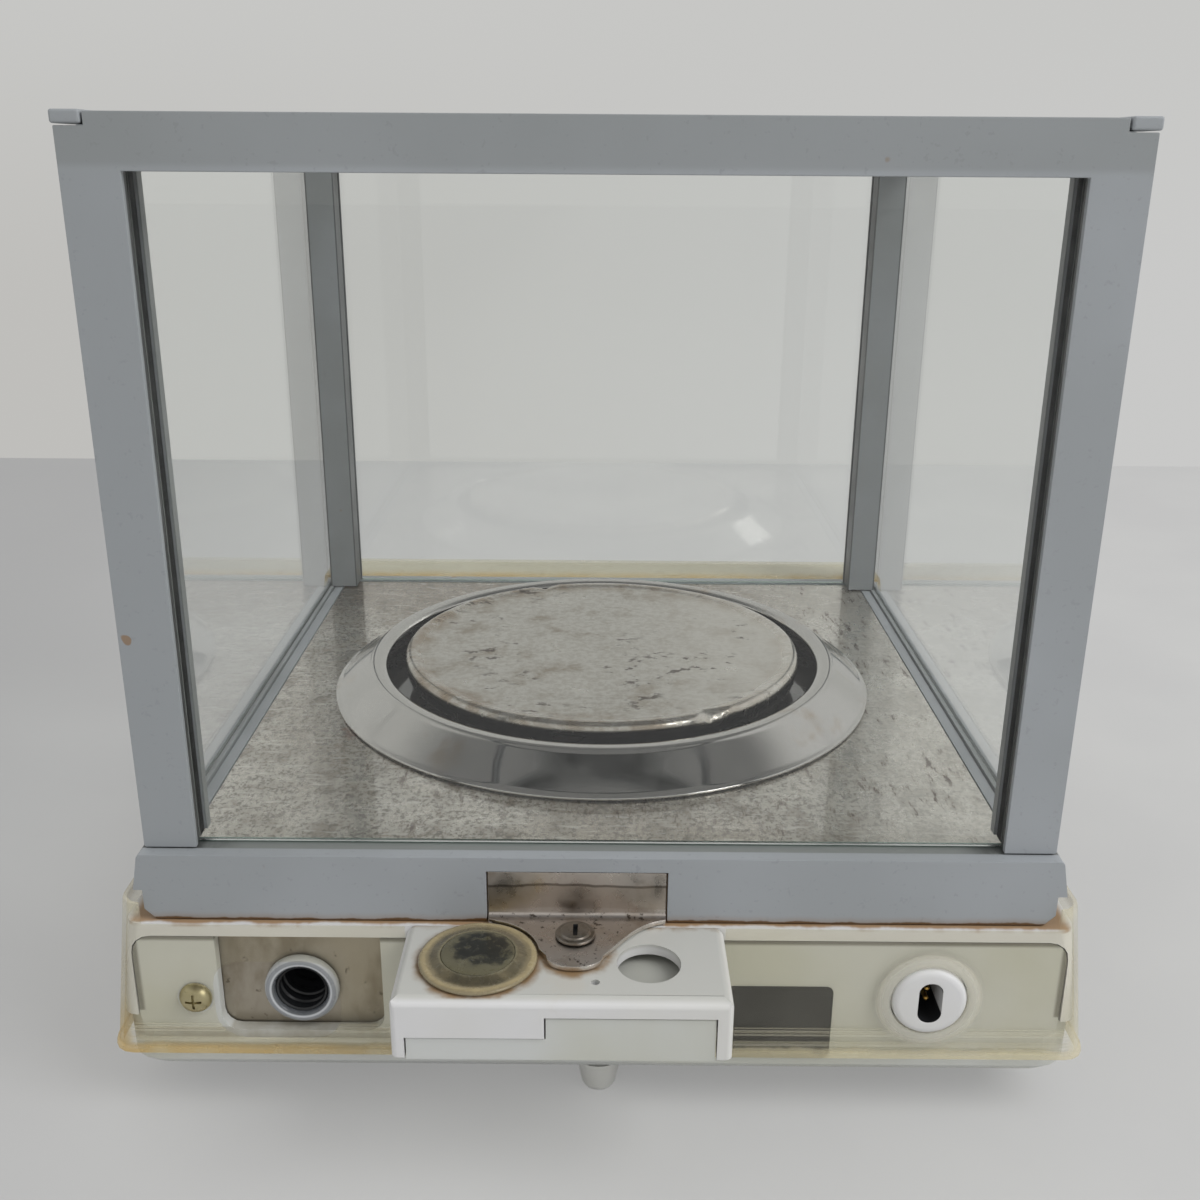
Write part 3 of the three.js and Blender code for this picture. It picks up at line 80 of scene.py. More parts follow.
# test gets the middle of an edge and its direction, or a point and its normal
def pick(piece, test, kind="EDGE"):
    bpy.ops.mesh.select_mode(type=kind)
    bpy.ops.mesh.select_all(action="DESELECT")
    shape = bmesh.from_edit_mesh(piece.data)
    for part in shape.edges if kind == "EDGE" else shape.verts:
        if kind == "EDGE":
            first, second = part.verts[0].co, part.verts[1].co
            middle, way = (first + second) / 2, (second - first).normalized()
        else:
            middle, way = part.co, part.normal
        if test(middle, way):
            part.select_set(True)
    shape.select_flush_mode()
    bmesh.update_edit_mesh(piece.data)


def settle(piece, name):
    piece.name = name
    piece.data.name = name
    holdPiece(piece)
    bpy.ops.object.transform_apply(location=True, rotation=True, scale=True)
    return piece


def apply(piece, kind, **settings):
    holdPiece(piece)
    tool = piece.modifiers.new(kind.lower(), kind)
    for key, value in settings.items():
        setattr(tool, key, value)
    bpy.ops.object.modifier_apply(modifier=tool.name)


def evenShade(piece, sharp=32):
    holdPiece(piece)
    bpy.ops.object.shade_smooth_by_angle(angle=radians(sharp))
    apply(piece, "WEIGHTED_NORMAL", keep_sharp=True)


def roundEdges(piece, edge, steps=2, sharp=32):
    apply(piece, "BEVEL", width=edge * mm, segments=steps, limit_method="ANGLE", angle_limit=radians(sharp))
    evenShade(piece, sharp)


def pullOut(move):
    bpy.ops.mesh.extrude_region_move(TRANSFORM_OT_translate={"value": move})


# One point is drawn out through a line of places, counted from start
def drawLine(places, start=Vector((0, 0, 0))):
    clearSelection()
    bpy.ops.mesh.primitive_plane_add(size=mm, location=start + places[0])
    piece = bpy.context.object
    openEdit(piece, "VERT")
    bpy.ops.mesh.merge(type="CENTER")
    for before, after in zip(places, places[1:]):
        pullOut(after - before)
    bpy.ops.mesh.select_all(action="SELECT")
    return piece


# The drawn outline is spun about the centre line. Its points are (radius, height along the centre line).
def turnPiece(name, outline, centre, alongY=False, steps=64):
    side = Vector((1, 0, 0))
    axle = Vector((0, 1, 0)) if alongY else Vector((0, 0, 1))
    piece = drawLine([(side * radius + axle * height) * mm for radius, height in outline], centre)
    bpy.ops.mesh.spin(steps=steps, angle=2 * pi, center=centre, axis=axle)
    bpy.ops.mesh.select_all(action="SELECT")
    bpy.ops.mesh.remove_doubles(threshold=0.000002)
    bpy.ops.mesh.normals_make_consistent(inside=False)
    closeEdit()
    return settle(piece, name)


# A cutter shape is taken away from the piece and then deleted
def cutAway(piece, cutter):
    apply(piece, "BOOLEAN", operation="DIFFERENCE", object=cutter, solver="EXACT")
    bpy.data.objects.remove(cutter)


def barAt(name, low, high):
    clearSelection()
    bpy.ops.mesh.primitive_cube_add(size=1, location=(low + high) / 2)
    piece = bpy.context.object
    piece.scale = high - low
    return settle(piece, name)


def rodAt(name, centre, radius, length, alongY=False, steps=48):
    clearSelection()
    turn = (pi / 2, 0, 0) if alongY else (0, 0, 0)
    bpy.ops.mesh.primitive_cylinder_add(vertices=steps, radius=radius * mm, depth=length * mm,
                                        location=centre, rotation=turn)
    return settle(bpy.context.object, name)


# The four long edges of a bar that runs from front to rear are rounded off
def roundBar(piece, radius, steps):
    openEdit(piece)
    pick(piece, lambda middle, way: abs(way.y) > 0.9)
    bpy.ops.mesh.bevel(offset=radius * mm, segments=steps, affect="EDGES")
    closeEdit()


# A piece is called as its node is, base_tray as baseTray, and takes the node's body
def pieceName(node):
    first, *others = node.split("_")
    return first + "".join(word.capitalize() for word in others)


record = frame["record"]
slotOf = {part["node"]: part["material_slot"] for part in record["subparts"]}
bodyOf = {node: body for body, nodes in record["behaviour"]["bodies"].items() for node in nodes}
nodeOf = {pieceName(node): node for node in slotOf}


def dress(piece, *finishes):
    piece.data.materials.clear()
    for finish in finishes:
        piece.data.materials.append(finish)


# A piece without a node of its own stands on the chassis
def fit(piece, *finishes, slot=None):
    node = nodeOf.get(piece.name)
    if node:
        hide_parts(node)
    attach(piece, bodyOf.get(node, "chassis"))
    dress(piece, *finishes)
    return piece


# Faces that pass the test take the second finish
def dressFaces(piece, test):
    for face in piece.data.polygons:
        if test(face.center, face.normal):
            face.material_index = 1


# The test for a middle that lies between two corners
def within(low, high):
    return lambda middle, way: all(low[i] < middle[i] < high[i] for i in range(3))


# A copy of a CAD piece, merged, with its flats made whole
def plainCopy(node):
    name = pieceName(node)
    piece = bpy.data.objects.new(name, frame["nodes"][node].data.copy())
    piece.data.name = name
    bpy.context.scene.collection.objects.link(piece)
    holdPiece(piece)
    if piece.data.has_custom_normals:
        bpy.ops.mesh.customdata_custom_splitnormals_clear()
    openEdit(piece)
    bpy.ops.mesh.remove_doubles(threshold=0.00001)
    bpy.ops.mesh.select_all(action="SELECT")
    bpy.ops.mesh.dissolve_limited(angle_limit=radians(0.5))
    closeEdit()
    return piece


# The same with its edges rounded, as they leave the mould
def softCopy(node, *finishes, edge=0.25, steps=2):
    piece = plainCopy(node)
    roundEdges(piece, edge, steps)
    return fit(piece, *finishes)


# A piece that leaves the lathe finished
def turnWhole(name, outline, centre, sharp, finish, alongY=False, steps=64, slot=None):
    piece = turnPiece(name, outline, centre, alongY, steps)
    evenShade(piece, sharp)
    fit(piece, finish, slot=slot)


# Building finishes
# Colours are written as they look on screen, 0 to 255, and turned into the shader's own numbers
def tone(colour):
    def bare(share):
        return share / 12.92 if share < 0.04 else ((share + 0.055) / 1.055) ** 2.4
    return tuple(bare(value / 255) for value in colour) + (1.0,)


surfaceInputs = {"colour": "Base Color", "roughness": "Roughness", "metal": "Metallic", "ior": "IOR",
                 "coat": "Coat Weight", "coatRoughness": "Coat Roughness", "coatIor": "Coat IOR",
                 "clear": "Transmission Weight", "shine": "Specular IOR Level", "relief": "Normal"}
# On the bench lies what is being mixed: its node tree, surface shader and look, and its tint so far
bench = {}


def fill(node, key, value):
    socket = node.inputs[key]
    if isinstance(value, bpy.types.NodeSocket):
        bench["tree"].links.new(value, socket)
    elif isinstance(value, tuple) and socket.type == "RGBA" and len(value) == 3:
        socket.default_value = tone(value)
    else:
        socket.default_value = value


def addNode(kind, inputs=None, **settings):
    made = bench["tree"].nodes.new("ShaderNode" + kind)
    for key, value in settings.items():
        setattr(made, key, value)
    for key, value in (inputs or {}).items():
        fill(made, key, value)
    return made


def setSurface(**values):
    for key, value in values.items():
        if key in surfaceInputs:
            fill(bench["surface"], surfaceInputs[key], value)


def startFinish(name, look):
    finish = bpy.data.materials.new(name)
    finish.use_nodes = True
    tree = finish.node_tree
    bench.update(finish=finish, tree=tree, surface=tree.nodes["Principled BSDF"], look=look,
                 tint=look["colour"])
    setSurface(**{"coatRoughness": 0.15, "ior": 1.5, **look})


# Gives the surface its tint, roughness and relief, and hands over the finish
def endFinish(roughness, height, depth, strength):
    bump = addNode("Bump", {"Height": height, "Distance": depth * mm, "Strength": strength})
    setSurface(colour=bench["tint"], roughness=roughness, relief=bump.outputs["Normal"])
    return bench["finish"]


def blend(share, first, second):
    return addNode("MixShader", {0: share, 1: first.outputs[0], 2: second.outputs[0]})


# Shows a blend in place of the plain surface, and hands over the finish
def showAs(shader):
    fill(bench["tree"].nodes["Material Output"], "Surface", shader.outputs[0])
    return bench["finish"]


# The place on the object, stretched, turned by degrees about z, and then shifted
def here(stretch=(1, 1, 1), turn=0, shift=(0, 0, 0)):
    place = addNode("TexCoord").outputs["Object"]
    return addNode("Mapping", {"Vector": place, "Scale": stretch, "Rotation": (0, 0, radians(turn)),
                               "Location": shift}).outputs["Vector"]


# x, y or z, in millimetres from where the shapes are measured
def along(axis):
    place = here((1000, 1000, 1000), shift=(0, -rearFace, 0))
    return addNode("SeparateXYZ", {"Vector": place}).outputs[axis]


# Millimetres from an upright line through (x, y), or from one along y through (x, z)
def awayFrom(place, alongY=False):
    first, second = place
    if alongY:
        vector = here((1000, 0, 1000), shift=(-first, 0, -second))
    else:
        vector = here((1000, 1000, 0), shift=(-first, -second - rearFace, 0))
    return addNode("VectorMath", {0: vector}, operation="LENGTH").outputs["Value"]


# Soft patches about size millimetres across
def cloud(size, detail=3.0, grain=0.5, stretch=(1, 1, 1), warp=0.0, turn=0, shift=(0, 0, 0)):
    return addNode("TexNoise", {"Vector": here(stretch, turn, shift), "Scale": 1000 / size, "Detail": detail,
                                "Roughness": grain, "Distortion": warp}).outputs["Fac"]


# Goes softly from start to end while the value goes from low to high
def fade(value, low, high, start=0.0, end=1.0):
    return addNode("MapRange", {"Value": value, "From Min": low, "From Max": high, "To Min": start,
                                "To Max": end}, interpolation_type="SMOOTHSTEP").outputs["Result"]


# A value that drifts between two others, in patches as for cloud
def patchy(start, end, *patches):
    return fade(cloud(*patches), 0.3, 0.7, start, end)


def calc(operation, first, *others):
    for other in others:
        first = addNode("Math", {0: first, 1: other}, operation=operation).outputs[0]
    return first


def plus(*values):
    return calc("ADD", *values)


def minus(*values):
    return calc("SUBTRACT", *values)


def times(*values):
    return calc("MULTIPLY", *values)


def most(*values):
    return calc("MAXIMUM", *values)


def unsigned(value):
    return calc("ABSOLUTE", value, 0.0)


# Lets a distance wander by up to reach millimetres either way
def sway(value, reach, noise):
    return plus(value, fade(noise, 0.3, 0.7, -reach, reach))


def mingle(share, first, second):
    return addNode("Mix", {0: share, 6: first, 7: second}, data_type="RGBA").outputs[2]


# Lays one of the look's colours over the tint so far
def layer(colour, share):
    bench["tint"] = mingle(share, bench["tint"], bench["look"][colour])


# Fine hair scratches: a stretched noise that shows only at its crests
def scratches(size, stretch, turn):
    return fade(cloud(size, 2.0, 0.5, stretch, 0.3, turn), 0.66, 0.7)


# Paint and plastics
paintLook = {"colour": (154, 158, 162), "darker": (147, 151, 154), "speck": (134, 137, 140),
             "rust": (134, 100, 56), "deepRust": (92, 66, 38), "shade": (52, 54, 54), "dull": (112, 115, 110),
             # rust climbs from the foot: full up to here, then the tops of its line and of its halo
             "rustFull": 0.3, "rustTop": 0.675, "haloTop": 2.0}


def greyPaint(name, rustFrom=None, part=None):
    startFinish(name, paintLook)
    x, y, z = unsigned(along("X")), along("Y"), along("Z")
    layer("darker", fade(cloud(60, 3), 0.38, 0.64))
    layer("speck", fade(cloud(1.3, 2, 0.6), 0.63, 0.72, 0, 0.4))
    chips = fade(cloud(5.5, 1, 0.3, shift=(0.3, 0.1, 0.2)), 0.8, 0.82, 0, 0.7)
    layer("rust", chips)
    if rustFrom is not None:
        ragged = plus(z, patchy(0.2, -0.3, 7, 4, 0.6, (1, 1, 0.2)))
        full = rustFrom + paintLook["rustFull"]
        layer("rust", fade(ragged, rustFrom + paintLook["haloTop"], full, 0, 0.3))
        layer("deepRust", fade(ragged, rustFrom + paintLook["rustTop"], full))
        # the ledge at the foot of the rear glass is painted darker, with dirt in its corners and a painted shadow
        # line along its edge by the floor plate
        ledge = times(fade(z, 58.3, 58.6), fade(y, 0.1, 0.5))
        layer("dull", times(ledge, 0.75))
        dirt = times(fade(x, 70, 79, 0, 0.7), fade(cloud(5, 5, 0.65, (1, 0.5, 1)), 0.36, 0.6, 0.3, 1))
        layer("shade", times(ledge, most(dirt, fade(y, 3.6, 4.4))))
    if part == "rear":
        # painted shade: a fine dark line round the opening, darker inner sides behind the pane, and a darker top
        # rail
        inner = times(fade(x, 79.95, 79.85), fade(z, 185.65, 185.55))
        layer("shade", times(inner, fade(y, 1.0, 1.2), fade(y, 2.6, 2.4)))
        layer("dull", fade(z, 185.5, 187, 0, 0.3))
        layer("dull", times(inner, fade(y, 7.6, 7.8, 0, 0.6)))
    if part in ("far", "rail"):
        layer("dull", patchy(0.25, 0.5, 30, 3))
    if part == "far":
        layer("shade", times(most(fade(x, 79.75, 79.6), fade(x, 87.2, 87.3)), 0.75))
    return endFinish(patchy(0.36, 0.5, 20, 4), cloud(0.5, 2), 0.02, 0.35)


whiteLook = {"colour": (210, 210, 211), "aged": (203, 202, 195), "stain": (128, 98, 58),
             "smudge": (186, 176, 160), "top": (186, 186, 181), "amber": (150, 112, 62)}


def whiteMoulding(name, stained=False):
    startFinish(name, whiteLook)
    y, z = along("Y"), along("Z")
    layer("aged", fade(cloud(45, 3), 0.42, 0.72, 0, 0.6))
    if stained:
        # painted shade: the shelf's top is darker than its front
        layer("top", fade(z, 43.2, 44.1))
        # dirt lines hug the level, the bracket's tongue and the foot of the skirt
        ragged = cloud(4.5, 4, 0.6)
        level = fade(sway(awayFrom(levelPlace), 0.4, ragged), 13.1, 11.3)
        tongue = fade(sway(awayFrom((-4.7, -12.8)), 0.5, ragged), 8.3, 6.4)
        back = fade(sway(y, 0.8, ragged), -5.6, -2.9)
        layer("smudge", fade(sway(awayFrom((-5.5, -23)), 2, ragged), 5, 1, 0, 0.22))
        layer("stain", times(most(level, tongue, back), fade(z, 43.6, 44),
                             fade(cloud(7, 4, 0.6), 0.3, 0.62, 0.3, 0.9)))
    else:
        # brown runs along the foot of the skirt
        seam = fade(sway(y, 0.6, cloud(9, 4, 0.6, (1, 0.3, 0.3))), -3.9, -2.8, 0, 0.85)
        layer("amber", times(seam, fade(z, 43.2, 43.8), fade(y, 17.15, 7.15),
                             fade(unsigned(along("X")), 94.5, 92.5)))
    return endFinish(patchy(0.28, 0.42, 9, 4), cloud(0.7), 0.02, 0.3)


trayLook = {"colour": (196, 198, 196), "roughness": 0.42, "aged": (188, 189, 180), "grime": (92, 88, 76),
            "sill": (158, 154, 142)}
rubberLook = {"colour": (30, 31, 33), "roughness": 0.4, "aged": (44, 45, 46)}
blackLook = {"colour": (30, 31, 33), "roughness": 0.32, "aged": (36, 36, 36)}
paleFootLook = {"colour": (206, 206, 202), "roughness": 0.38, "aged": (188, 187, 178)}


def plainMoulding(name, look, grain=0.6, grimy=False):
    startFinish(name, look)
    layer("aged", fade(cloud(40, 3), 0.4, 0.7))
    if grimy:
        # painted shade in the gap round the rear panel, and dirt on the sill of the socket's window
        x, y, z = along("X"), along("Y"), along("Z")
        gap = most(times(fade(unsigned(x), 92.1, 93), fade(z, 23.2, 23.7)), fade(z, 39.7, 40.6))
        layer("grime", times(gap, fade(y, 3.15, 2.15, 0, 0.8)))
        layer("sill", times(fade(z, 19.7, 19.2), fade(x, -42, -43.5), fade(z, 16.6, 17.2),
                            patchy(0.5, 1, 6, 4, 0.6)))
    rough = look["roughness"]
    return endFinish(patchy(rough - 0.06, rough + 0.08, 12, 4), cloud(grain, 3, 0.55), 0.025, 0.4)


filmLook = {"colour": (216, 214, 204), "amber": (206, 176, 118), "pale": (216, 209, 180),
            "through": (253, 252, 248), "amberThrough": (249, 240, 214), "milk": (228, 227, 219),
            "haze": 0.042, "edgeHaze": 0.4, "milkHaze": 0.32,
            # fold lines along the foot: height and half width
            "folds": ((17.2, 0.18), (19.6, 0.13), (20.6, 0.1))}


# Yellowed clear film: thin and clear on its faces, hazier and more amber where it is bent or cut
def agedFilm(name, look=filmLook):
    startFinish(name, look)
    x, y, z = along("X"), along("Y"), along("Z")
    ragged = cloud(14, 4, 0.6)
    low = fade(sway(z, 0.5, ragged), 16.6, 15.4)
    folds = [fade(unsigned(minus(z, height)), half * 2.2, half, 0, 0.7) for height, half in look["folds"]]
    sides = fade(unsigned(x), 94.8, 97.5, 0, 0.8)
    # the bent upper edges and the step beside the front glass
    top = fade(z, 45.5, 47.8, 0, 0.7)
    console = times(fade(z, 54, 55), fade(y, 190, 182))
    dense = most(low, sides, *folds, top, console)
    corner = times(fade(x, -94.5, -97.5), fade(z, 26, 18, 0.15, 0.9))
    amber = most(times(low, fade(x, -10, -70, 0.08, 0.9)), corner, console)
    amber = times(amber, fade(ragged, 0.35, 0.6, 0.5, 1))
    layer("pale", dense)
    layer("amber", amber)
    # whiter where it was drawn round the power inlet
    milk = times(fade(awayFrom(inletPlace, True), 12.5, 9.2), fade(y, 8, 4))
    layer("milk", milk)
    haze = plus(times(dense, look["edgeHaze"] - look["haze"]), patchy(-0.02, 0.03, 30, 3), look["haze"])
    haze = most(haze, times(milk, look["milkHaze"]))
    endFinish(patchy(0.14, 0.3, 8, 4), cloud(25, 2), 0.25, 0.6)
    clear = addNode("BsdfTransparent", {"Color": mingle(amber, look["through"], look["amberThrough"])})
    return showAs(blend(haze, clear, bench["surface"]))


sealLook = {"colour": (18, 19, 20), "aged": (28, 29, 29), "lip": (128, 129, 128)}


# The glass seal is black, with painted light on its front edge
def agedSeal(name):
    startFinish(name, sealLook)
    layer("aged", fade(cloud(20, 3), 0.35, 0.65))
    layer("lip", fade(along("Y"), 5.15, 5))
    return endFinish(patchy(0.55, 0.7, 5, 3), cloud(0.8), 0.02, 0.4)


milkyLook = {"colour": (84, 87, 91), "line": (188, 191, 194), "band": (138, 141, 145), "rim": (176, 179, 181),
             "coat": 0.4}


# The dark sleeve shows through the thin middle; the rim is thicker and brighter
def milkyPlastic(name):
    startFinish(name, milkyLook)
    away = awayFrom(socketPlace, True)
    layer("line", fade(away, 5.8, 6.1))
    layer("band", fade(away, 6.2, 6.5))
    layer("rim", fade(away, 7, 7.3))
    for key, value in (("Weight", 0.2), ("Radius", (0.0016, 0.0016, 0.0017)), ("Scale", 0.6)):
        fill(bench["surface"], "Subsurface " + key, value)
    return endFinish(patchy(0.16, 0.32, 3, 3), cloud(1.2, 2), 0.03, 0.4)


levelLook = {"colour": (132, 121, 94), "dirt": (82, 76, 58), "rim": (158, 144, 110), "black": (44, 42, 34),
             "line": (118, 112, 90), "coat": 0.4}


def yellowedPlastic(name):
    startFinish(name, levelLook)
    away = sway(awayFrom(levelPlace), 0.2, cloud(5, 3))
    layer("dirt", times(fade(away, 9.8, 8.8), fade(cloud(3.2, 4, 0.65), 0.3, 0.66, 0.5, 0.95)))
    layer("rim", times(fade(away, 9.8, 10.2), fade(away, 11.2, 10.7), fade(cloud(6, 3), 0.35, 0.6, 0.4, 1)))
    layer("line", times(fade(away, 6.9, 7.1), fade(away, 7.8, 7.3, 0, 0.8)))
    # painted shade over the front of the level, inside its rim
    front = fade(sway(along("Y"), 0.8, cloud(3, 4)), -20, -24, 0, 0.6)
    layer("black", times(front, fade(away, 9.8, 9.3)))
    return endFinish(patchy(0.18, 0.36, 2, 4), cloud(1.1), 0.04, 0.4)


lensLook = {"colour": (92, 88, 68), "dark": (30, 30, 24), "coat": 0.3}


def dirtyLens(name):
    startFinish(name, lensLook)
    spots = fade(cloud(3.4, 6, 0.74, warp=0.5), 0.36, 0.56)
    middle = fade(sway(awayFrom((-21.8, -14.4)), 1.2, cloud(4, 5, 0.7)), 6.2, 4.4)
    layer("dark", times(fade(spots, 0, 1, 0.5, 1), middle))
    return endFinish(fade(spots, 0, 1, 0.12, 0.4), cloud(0.9), 0.02, 0.3)


# Metals
floorLook = {"colour": (198, 193, 182), "metal": 0.9, "coatRoughness": 0.03, "coatIor": 1.9,
             "stain": (158, 148, 132), "brown": (132, 117, 97), "speck": (104, 94, 80), "spot": (82, 60, 42),
             "rust": (120, 76, 40), "bright": (232, 229, 220), "hollow": (46, 42, 36)}


def stainedFloor(name):
    startFinish(name, floorLook)
    x, y = along("X"), along("Y")
    blotches = cloud(9, 7, 0.72, (1, 0.8, 1), shift=(0.3, 0.2, 0))
    grain = cloud(0.9, 4, 0.7, (1, 0.8, 1))
    layer("stain", fade(cloud(42, 4, 0.6, shift=(0.1, 0.3, 0)), 0.4, 0.62, 0, 0.8))
    layer("brown", fade(blotches, 0.5, 0.64, 0, 0.7))
    layer("brown", fade(y, 117.15, 162.15, 0, 0.8))
    layer("speck", fade(grain, 0.47, 0.6, 0, 0.85))
    # painted light: the right side is lighter
    layer("bright", fade(x, 30, 75, 0, 0.5))
    layer("bright", fade(cloud(1.6, 3, 0.6, (0.25, 1.3, 1), 0.2, 12), 0.58, 0.66, 0, 0.45))
    # dark dashes in clusters, most of them along the right side
    spots = cloud(3.4, 6, 0.7, (2.1, 0.5, 1), 0, -20, (0.2, 0.5, 0))
    where = most(fade(cloud(28, 2, shift=(0.5, 0.1, 0)), 0.5, 0.62), fade(x, 45, 65))
    where = times(where, fade(cloud(13, 3, shift=(0.7, 0.2, 0)), 0.44, 0.6, 0.1, 1))
    layer("brown", times(fade(spots, 0.48, 0.6, 0, 0.5), where))
    layer("spot", times(fade(spots, 0.57, 0.62), where))
    layer("rust", fade(sway(awayFrom((-58.5, 58)), 3, cloud(3, 5, 0.7)), 4.5, 1, 0, 0.85))
    # painted shade on the floor inside the ring, below the pan
    layer("hollow", fade(awayFrom(panPlace), 62.5, 59.5))
    setSurface(coat=fade(y, 97.15, 162.15, 1, 0.72))
    return endFinish(fade(blotches, 0.35, 0.65, 0.2, 0.42), grain, 0.008, 0.4)


panLook = {"colour": (202, 199, 192), "metal": 1.0, "mottle": (186, 181, 172), "smudge": (160, 147, 130),
           "spot": (70, 54, 42), "rimBrown": (152, 134, 112), "under": (72, 66, 58),
           "bright": (226, 222, 214)}


def satinPan(name):
    startFinish(name, panLook)
    away = awayFrom(panPlace)
    blotches = cloud(13, 7, 0.68, shift=(0.4, 0.1, 0))
    layer("mottle", fade(cloud(1.4, 4, 0.65), 0.4, 0.62))
    layer("smudge", fade(blotches, 0.52, 0.68, 0, 0.75))
    layer("rimBrown", times(fade(away, 42, 47.5), fade(cloud(9, 5, 0.65), 0.42, 0.66, 0.05, 0.8)))
    # painted light: the right half is lighter
    layer("bright", fade(along("X"), 0, 45, 0, 0.6))
    spots = fade(cloud(4.2, 7, 0.7, (0.8, 1.15, 1), shift=(0.13, 0.41, 0)), 0.56, 0.61, 0, 0.8)
    layer("spot", times(spots, fade(cloud(20, 2, shift=(0.6, 0.2, 0)), 0.5, 0.62)))
    # painted shade on the outside of the roll, below its bead
    layer("under", times(fade(away, 50.9, 51.2), fade(along("Z"), 65.5, 64.8), 0.85))
    lines = most(scratches(3.4, (0.12, 2.4, 1), 24), scratches(3, (0.14, 2.8, 1), -38))
    rough = plus(fade(blotches, 0.3, 0.7, 0.27, 0.42), times(lines, 0.16))
    rough = minus(rough, fade(away, 46.5, 48.5, 0, 0.15))
    return endFinish(rough, plus(cloud(7, 3), times(lines, -0.3)), 0.05, 0.5)


ringLook = {"colour": (196, 194, 190), "metal": 1.0, "warm": (178, 160, 138), "well": (58, 54, 48)}


def polishedRing(name):
    startFinish(name, ringLook)
    layer("warm", fade(cloud(14, 4, 0.6), 0.55, 0.75, 0, 0.6))
    # painted shade in the groove and inner wall of the ring
    layer("well", times(fade(awayFrom(panPlace), 58.6, 58.4), fade(along("Z"), 64.1, 63.7)))
    return endFinish(fade(cloud(10, 5, 0.6), 0.35, 0.7, 0.05, 0.14), cloud(14, 2), 0.012, 0.3)


bracketLook = {"colour": (208, 200, 193), "metal": 1.0, "brown": (172, 156, 138), "spot": (66, 54, 42),
               "bright": (230, 226, 220)}


def stainedBracket(name, polished=False):
    startFinish(name, bracketLook)
    z = along("Z")
    ragged = sway(z, 0.4, cloud(12, 3, 0.5, (1, 1, 0.3)))
    layer("brown", times(fade(ragged, 47, 47.6), fade(ragged, 53, 52.1), 0.4))
    layer("spot", fade(unsigned(minus(ragged, 52.5)), 0.4, 0.15, 0, 0.6))
    layer("brown", fade(cloud(7, 5, 0.6), 0.5, 0.72, 0, 0.6))
    layer("spot", times(fade(cloud(1.5, 4, 0.6), 0.6, 0.68), fade(z, 47.8, 46.6, 0.05, 0.8)))
    if polished:
        layer("bright", fade(cloud(4, 4), 0.35, 0.6, 0.9, 0.4))
    rough = (0.12, 0.24) if polished else (0.24, 0.4)
    return endFinish(patchy(*rough, 3, 4), cloud(1.6, 4, 0.6), 0.05, 0.5)


# Worn metals: colour, stain and spots, then metal share, roughness, size of the patches and their stretch
metals = {
    "interfacePlateSteel": ((172, 164, 150), (140, 130, 112), (82, 72, 58), 0.9, 0.42, 10, (1, 1, 0.5)),
    "plainSteel": ((170, 168, 164), (140, 134, 124), (104, 96, 84), 1.0, 0.36, 8, (1, 1, 1)),
    "zincSteel": ((186, 176, 138), (136, 122, 84), (70, 62, 44), 0.9, 0.34, 4, (1, 1, 1)),
    "lockSteel": ((158, 151, 142), (112, 100, 86), (58, 48, 38), 1.0, 0.38, 3, (1, 1, 1)),
    "satinAluminium": ((188, 190, 191), (168, 168, 166), (140, 140, 138), 1.0, 0.36, 5, (1, 0.15, 1)),
    "contactBrass": ((206, 168, 92), (168, 130, 66), (110, 82, 40), 1.0, 0.28, 2, (1, 1, 1)),
    "coilCopper": ((190, 112, 72), (160, 88, 54), (110, 60, 38), 1.0, 0.3, 3, (1, 1, 6)),
}


def wornMetal(name):
    colour, stain, spots, metal, rough, size, stretch = metals[name]
    startFinish(name, {"colour": colour, "stain": stain, "spots": spots, "metal": metal})
    layer("stain", fade(cloud(size, 5, 0.6, stretch), 0.45, 0.7, 0, 0.8))
    layer("spots", fade(cloud(size / 4, 4, 0.6, shift=(0.2, 0.1, 0.3)), 0.64, 0.72, 0, 0.6))
    return endFinish(patchy(rough - 0.07, rough + 0.09, size / 2, 4, 0.5, stretch),
                     cloud(size / 6, 3, 0.5, stretch), 0.02, 0.5)


# Glass, label and electronics
# Lamps shine straight through, so the glass throws no black shadow
def clearGlass(name, colour, roughness=0.0):
    startFinish(name, {"colour": colour, "ior": 1.48, "clear": 1.0})
    setSurface(roughness=fade(cloud(30, 4), 0.5, 0.75, roughness, roughness + 0.012))
    rays, through = addNode("LightPath"), addNode("BsdfTransparent", {"Color": colour})
    return showAs(blend(rays.outputs["Is Shadow Ray"], bench["surface"], through))


labelLook = {"colour": (8, 8, 8), "field": (34, 33, 30), "worn": (18, 18, 16), "shine": 0.16}


# The rating plate stays bare: a dark foil with a lighter empty field at its foot
def bareLabel(name):
    startFinish(name, labelLook)
    layer("field", fade(along("Z"), 20.8, 20.6, 0, 0.7))
    layer("worn", fade(cloud(5, 5, 0.6), 0.5, 0.75, 0, 0.8))
    return endFinish(patchy(0.32, 0.5, 3, 3), cloud(0.8), 0.01, 0.4)


boardLook = {"colour": (40, 96, 62), "track": (74, 134, 92), "pad": (186, 176, 140)}


def circuitBoard(name):
    startFinish(name, boardLook)
    tracks = addNode("TexBrick", {"Vector": here((420, 420, 420)), "Scale": 1.0, "Mortar Size": 0.06,
                                  "Brick Width": 2.3, "Row Height": 0.55}).outputs["Fac"]
    pads = addNode("TexVoronoi", {"Vector": here(), "Scale": 190.0}).outputs["Distance"]
    layer("track", tracks)
    layer("pad", fade(pads, 0.14, 0.1))
    return endFinish(patchy(0.32, 0.48, 10, 3), tracks, 0.04, 0.5)


screenLook = {"colour": (132, 140, 118), "shade": (118, 126, 104), "border": (70, 74, 66)}


# The display is off: a plain grey-green field with a darker margin
def blankScreen(name):
    startFinish(name, screenLook)
    layer("shade", fade(cloud(30, 2), 0.35, 0.7))
    layer("border", fade(unsigned(along("X")), 35.2, 35.5))
    return endFinish(patchy(0.24, 0.36, 6, 3), cloud(0.4, 2), 0.01, 0.3)


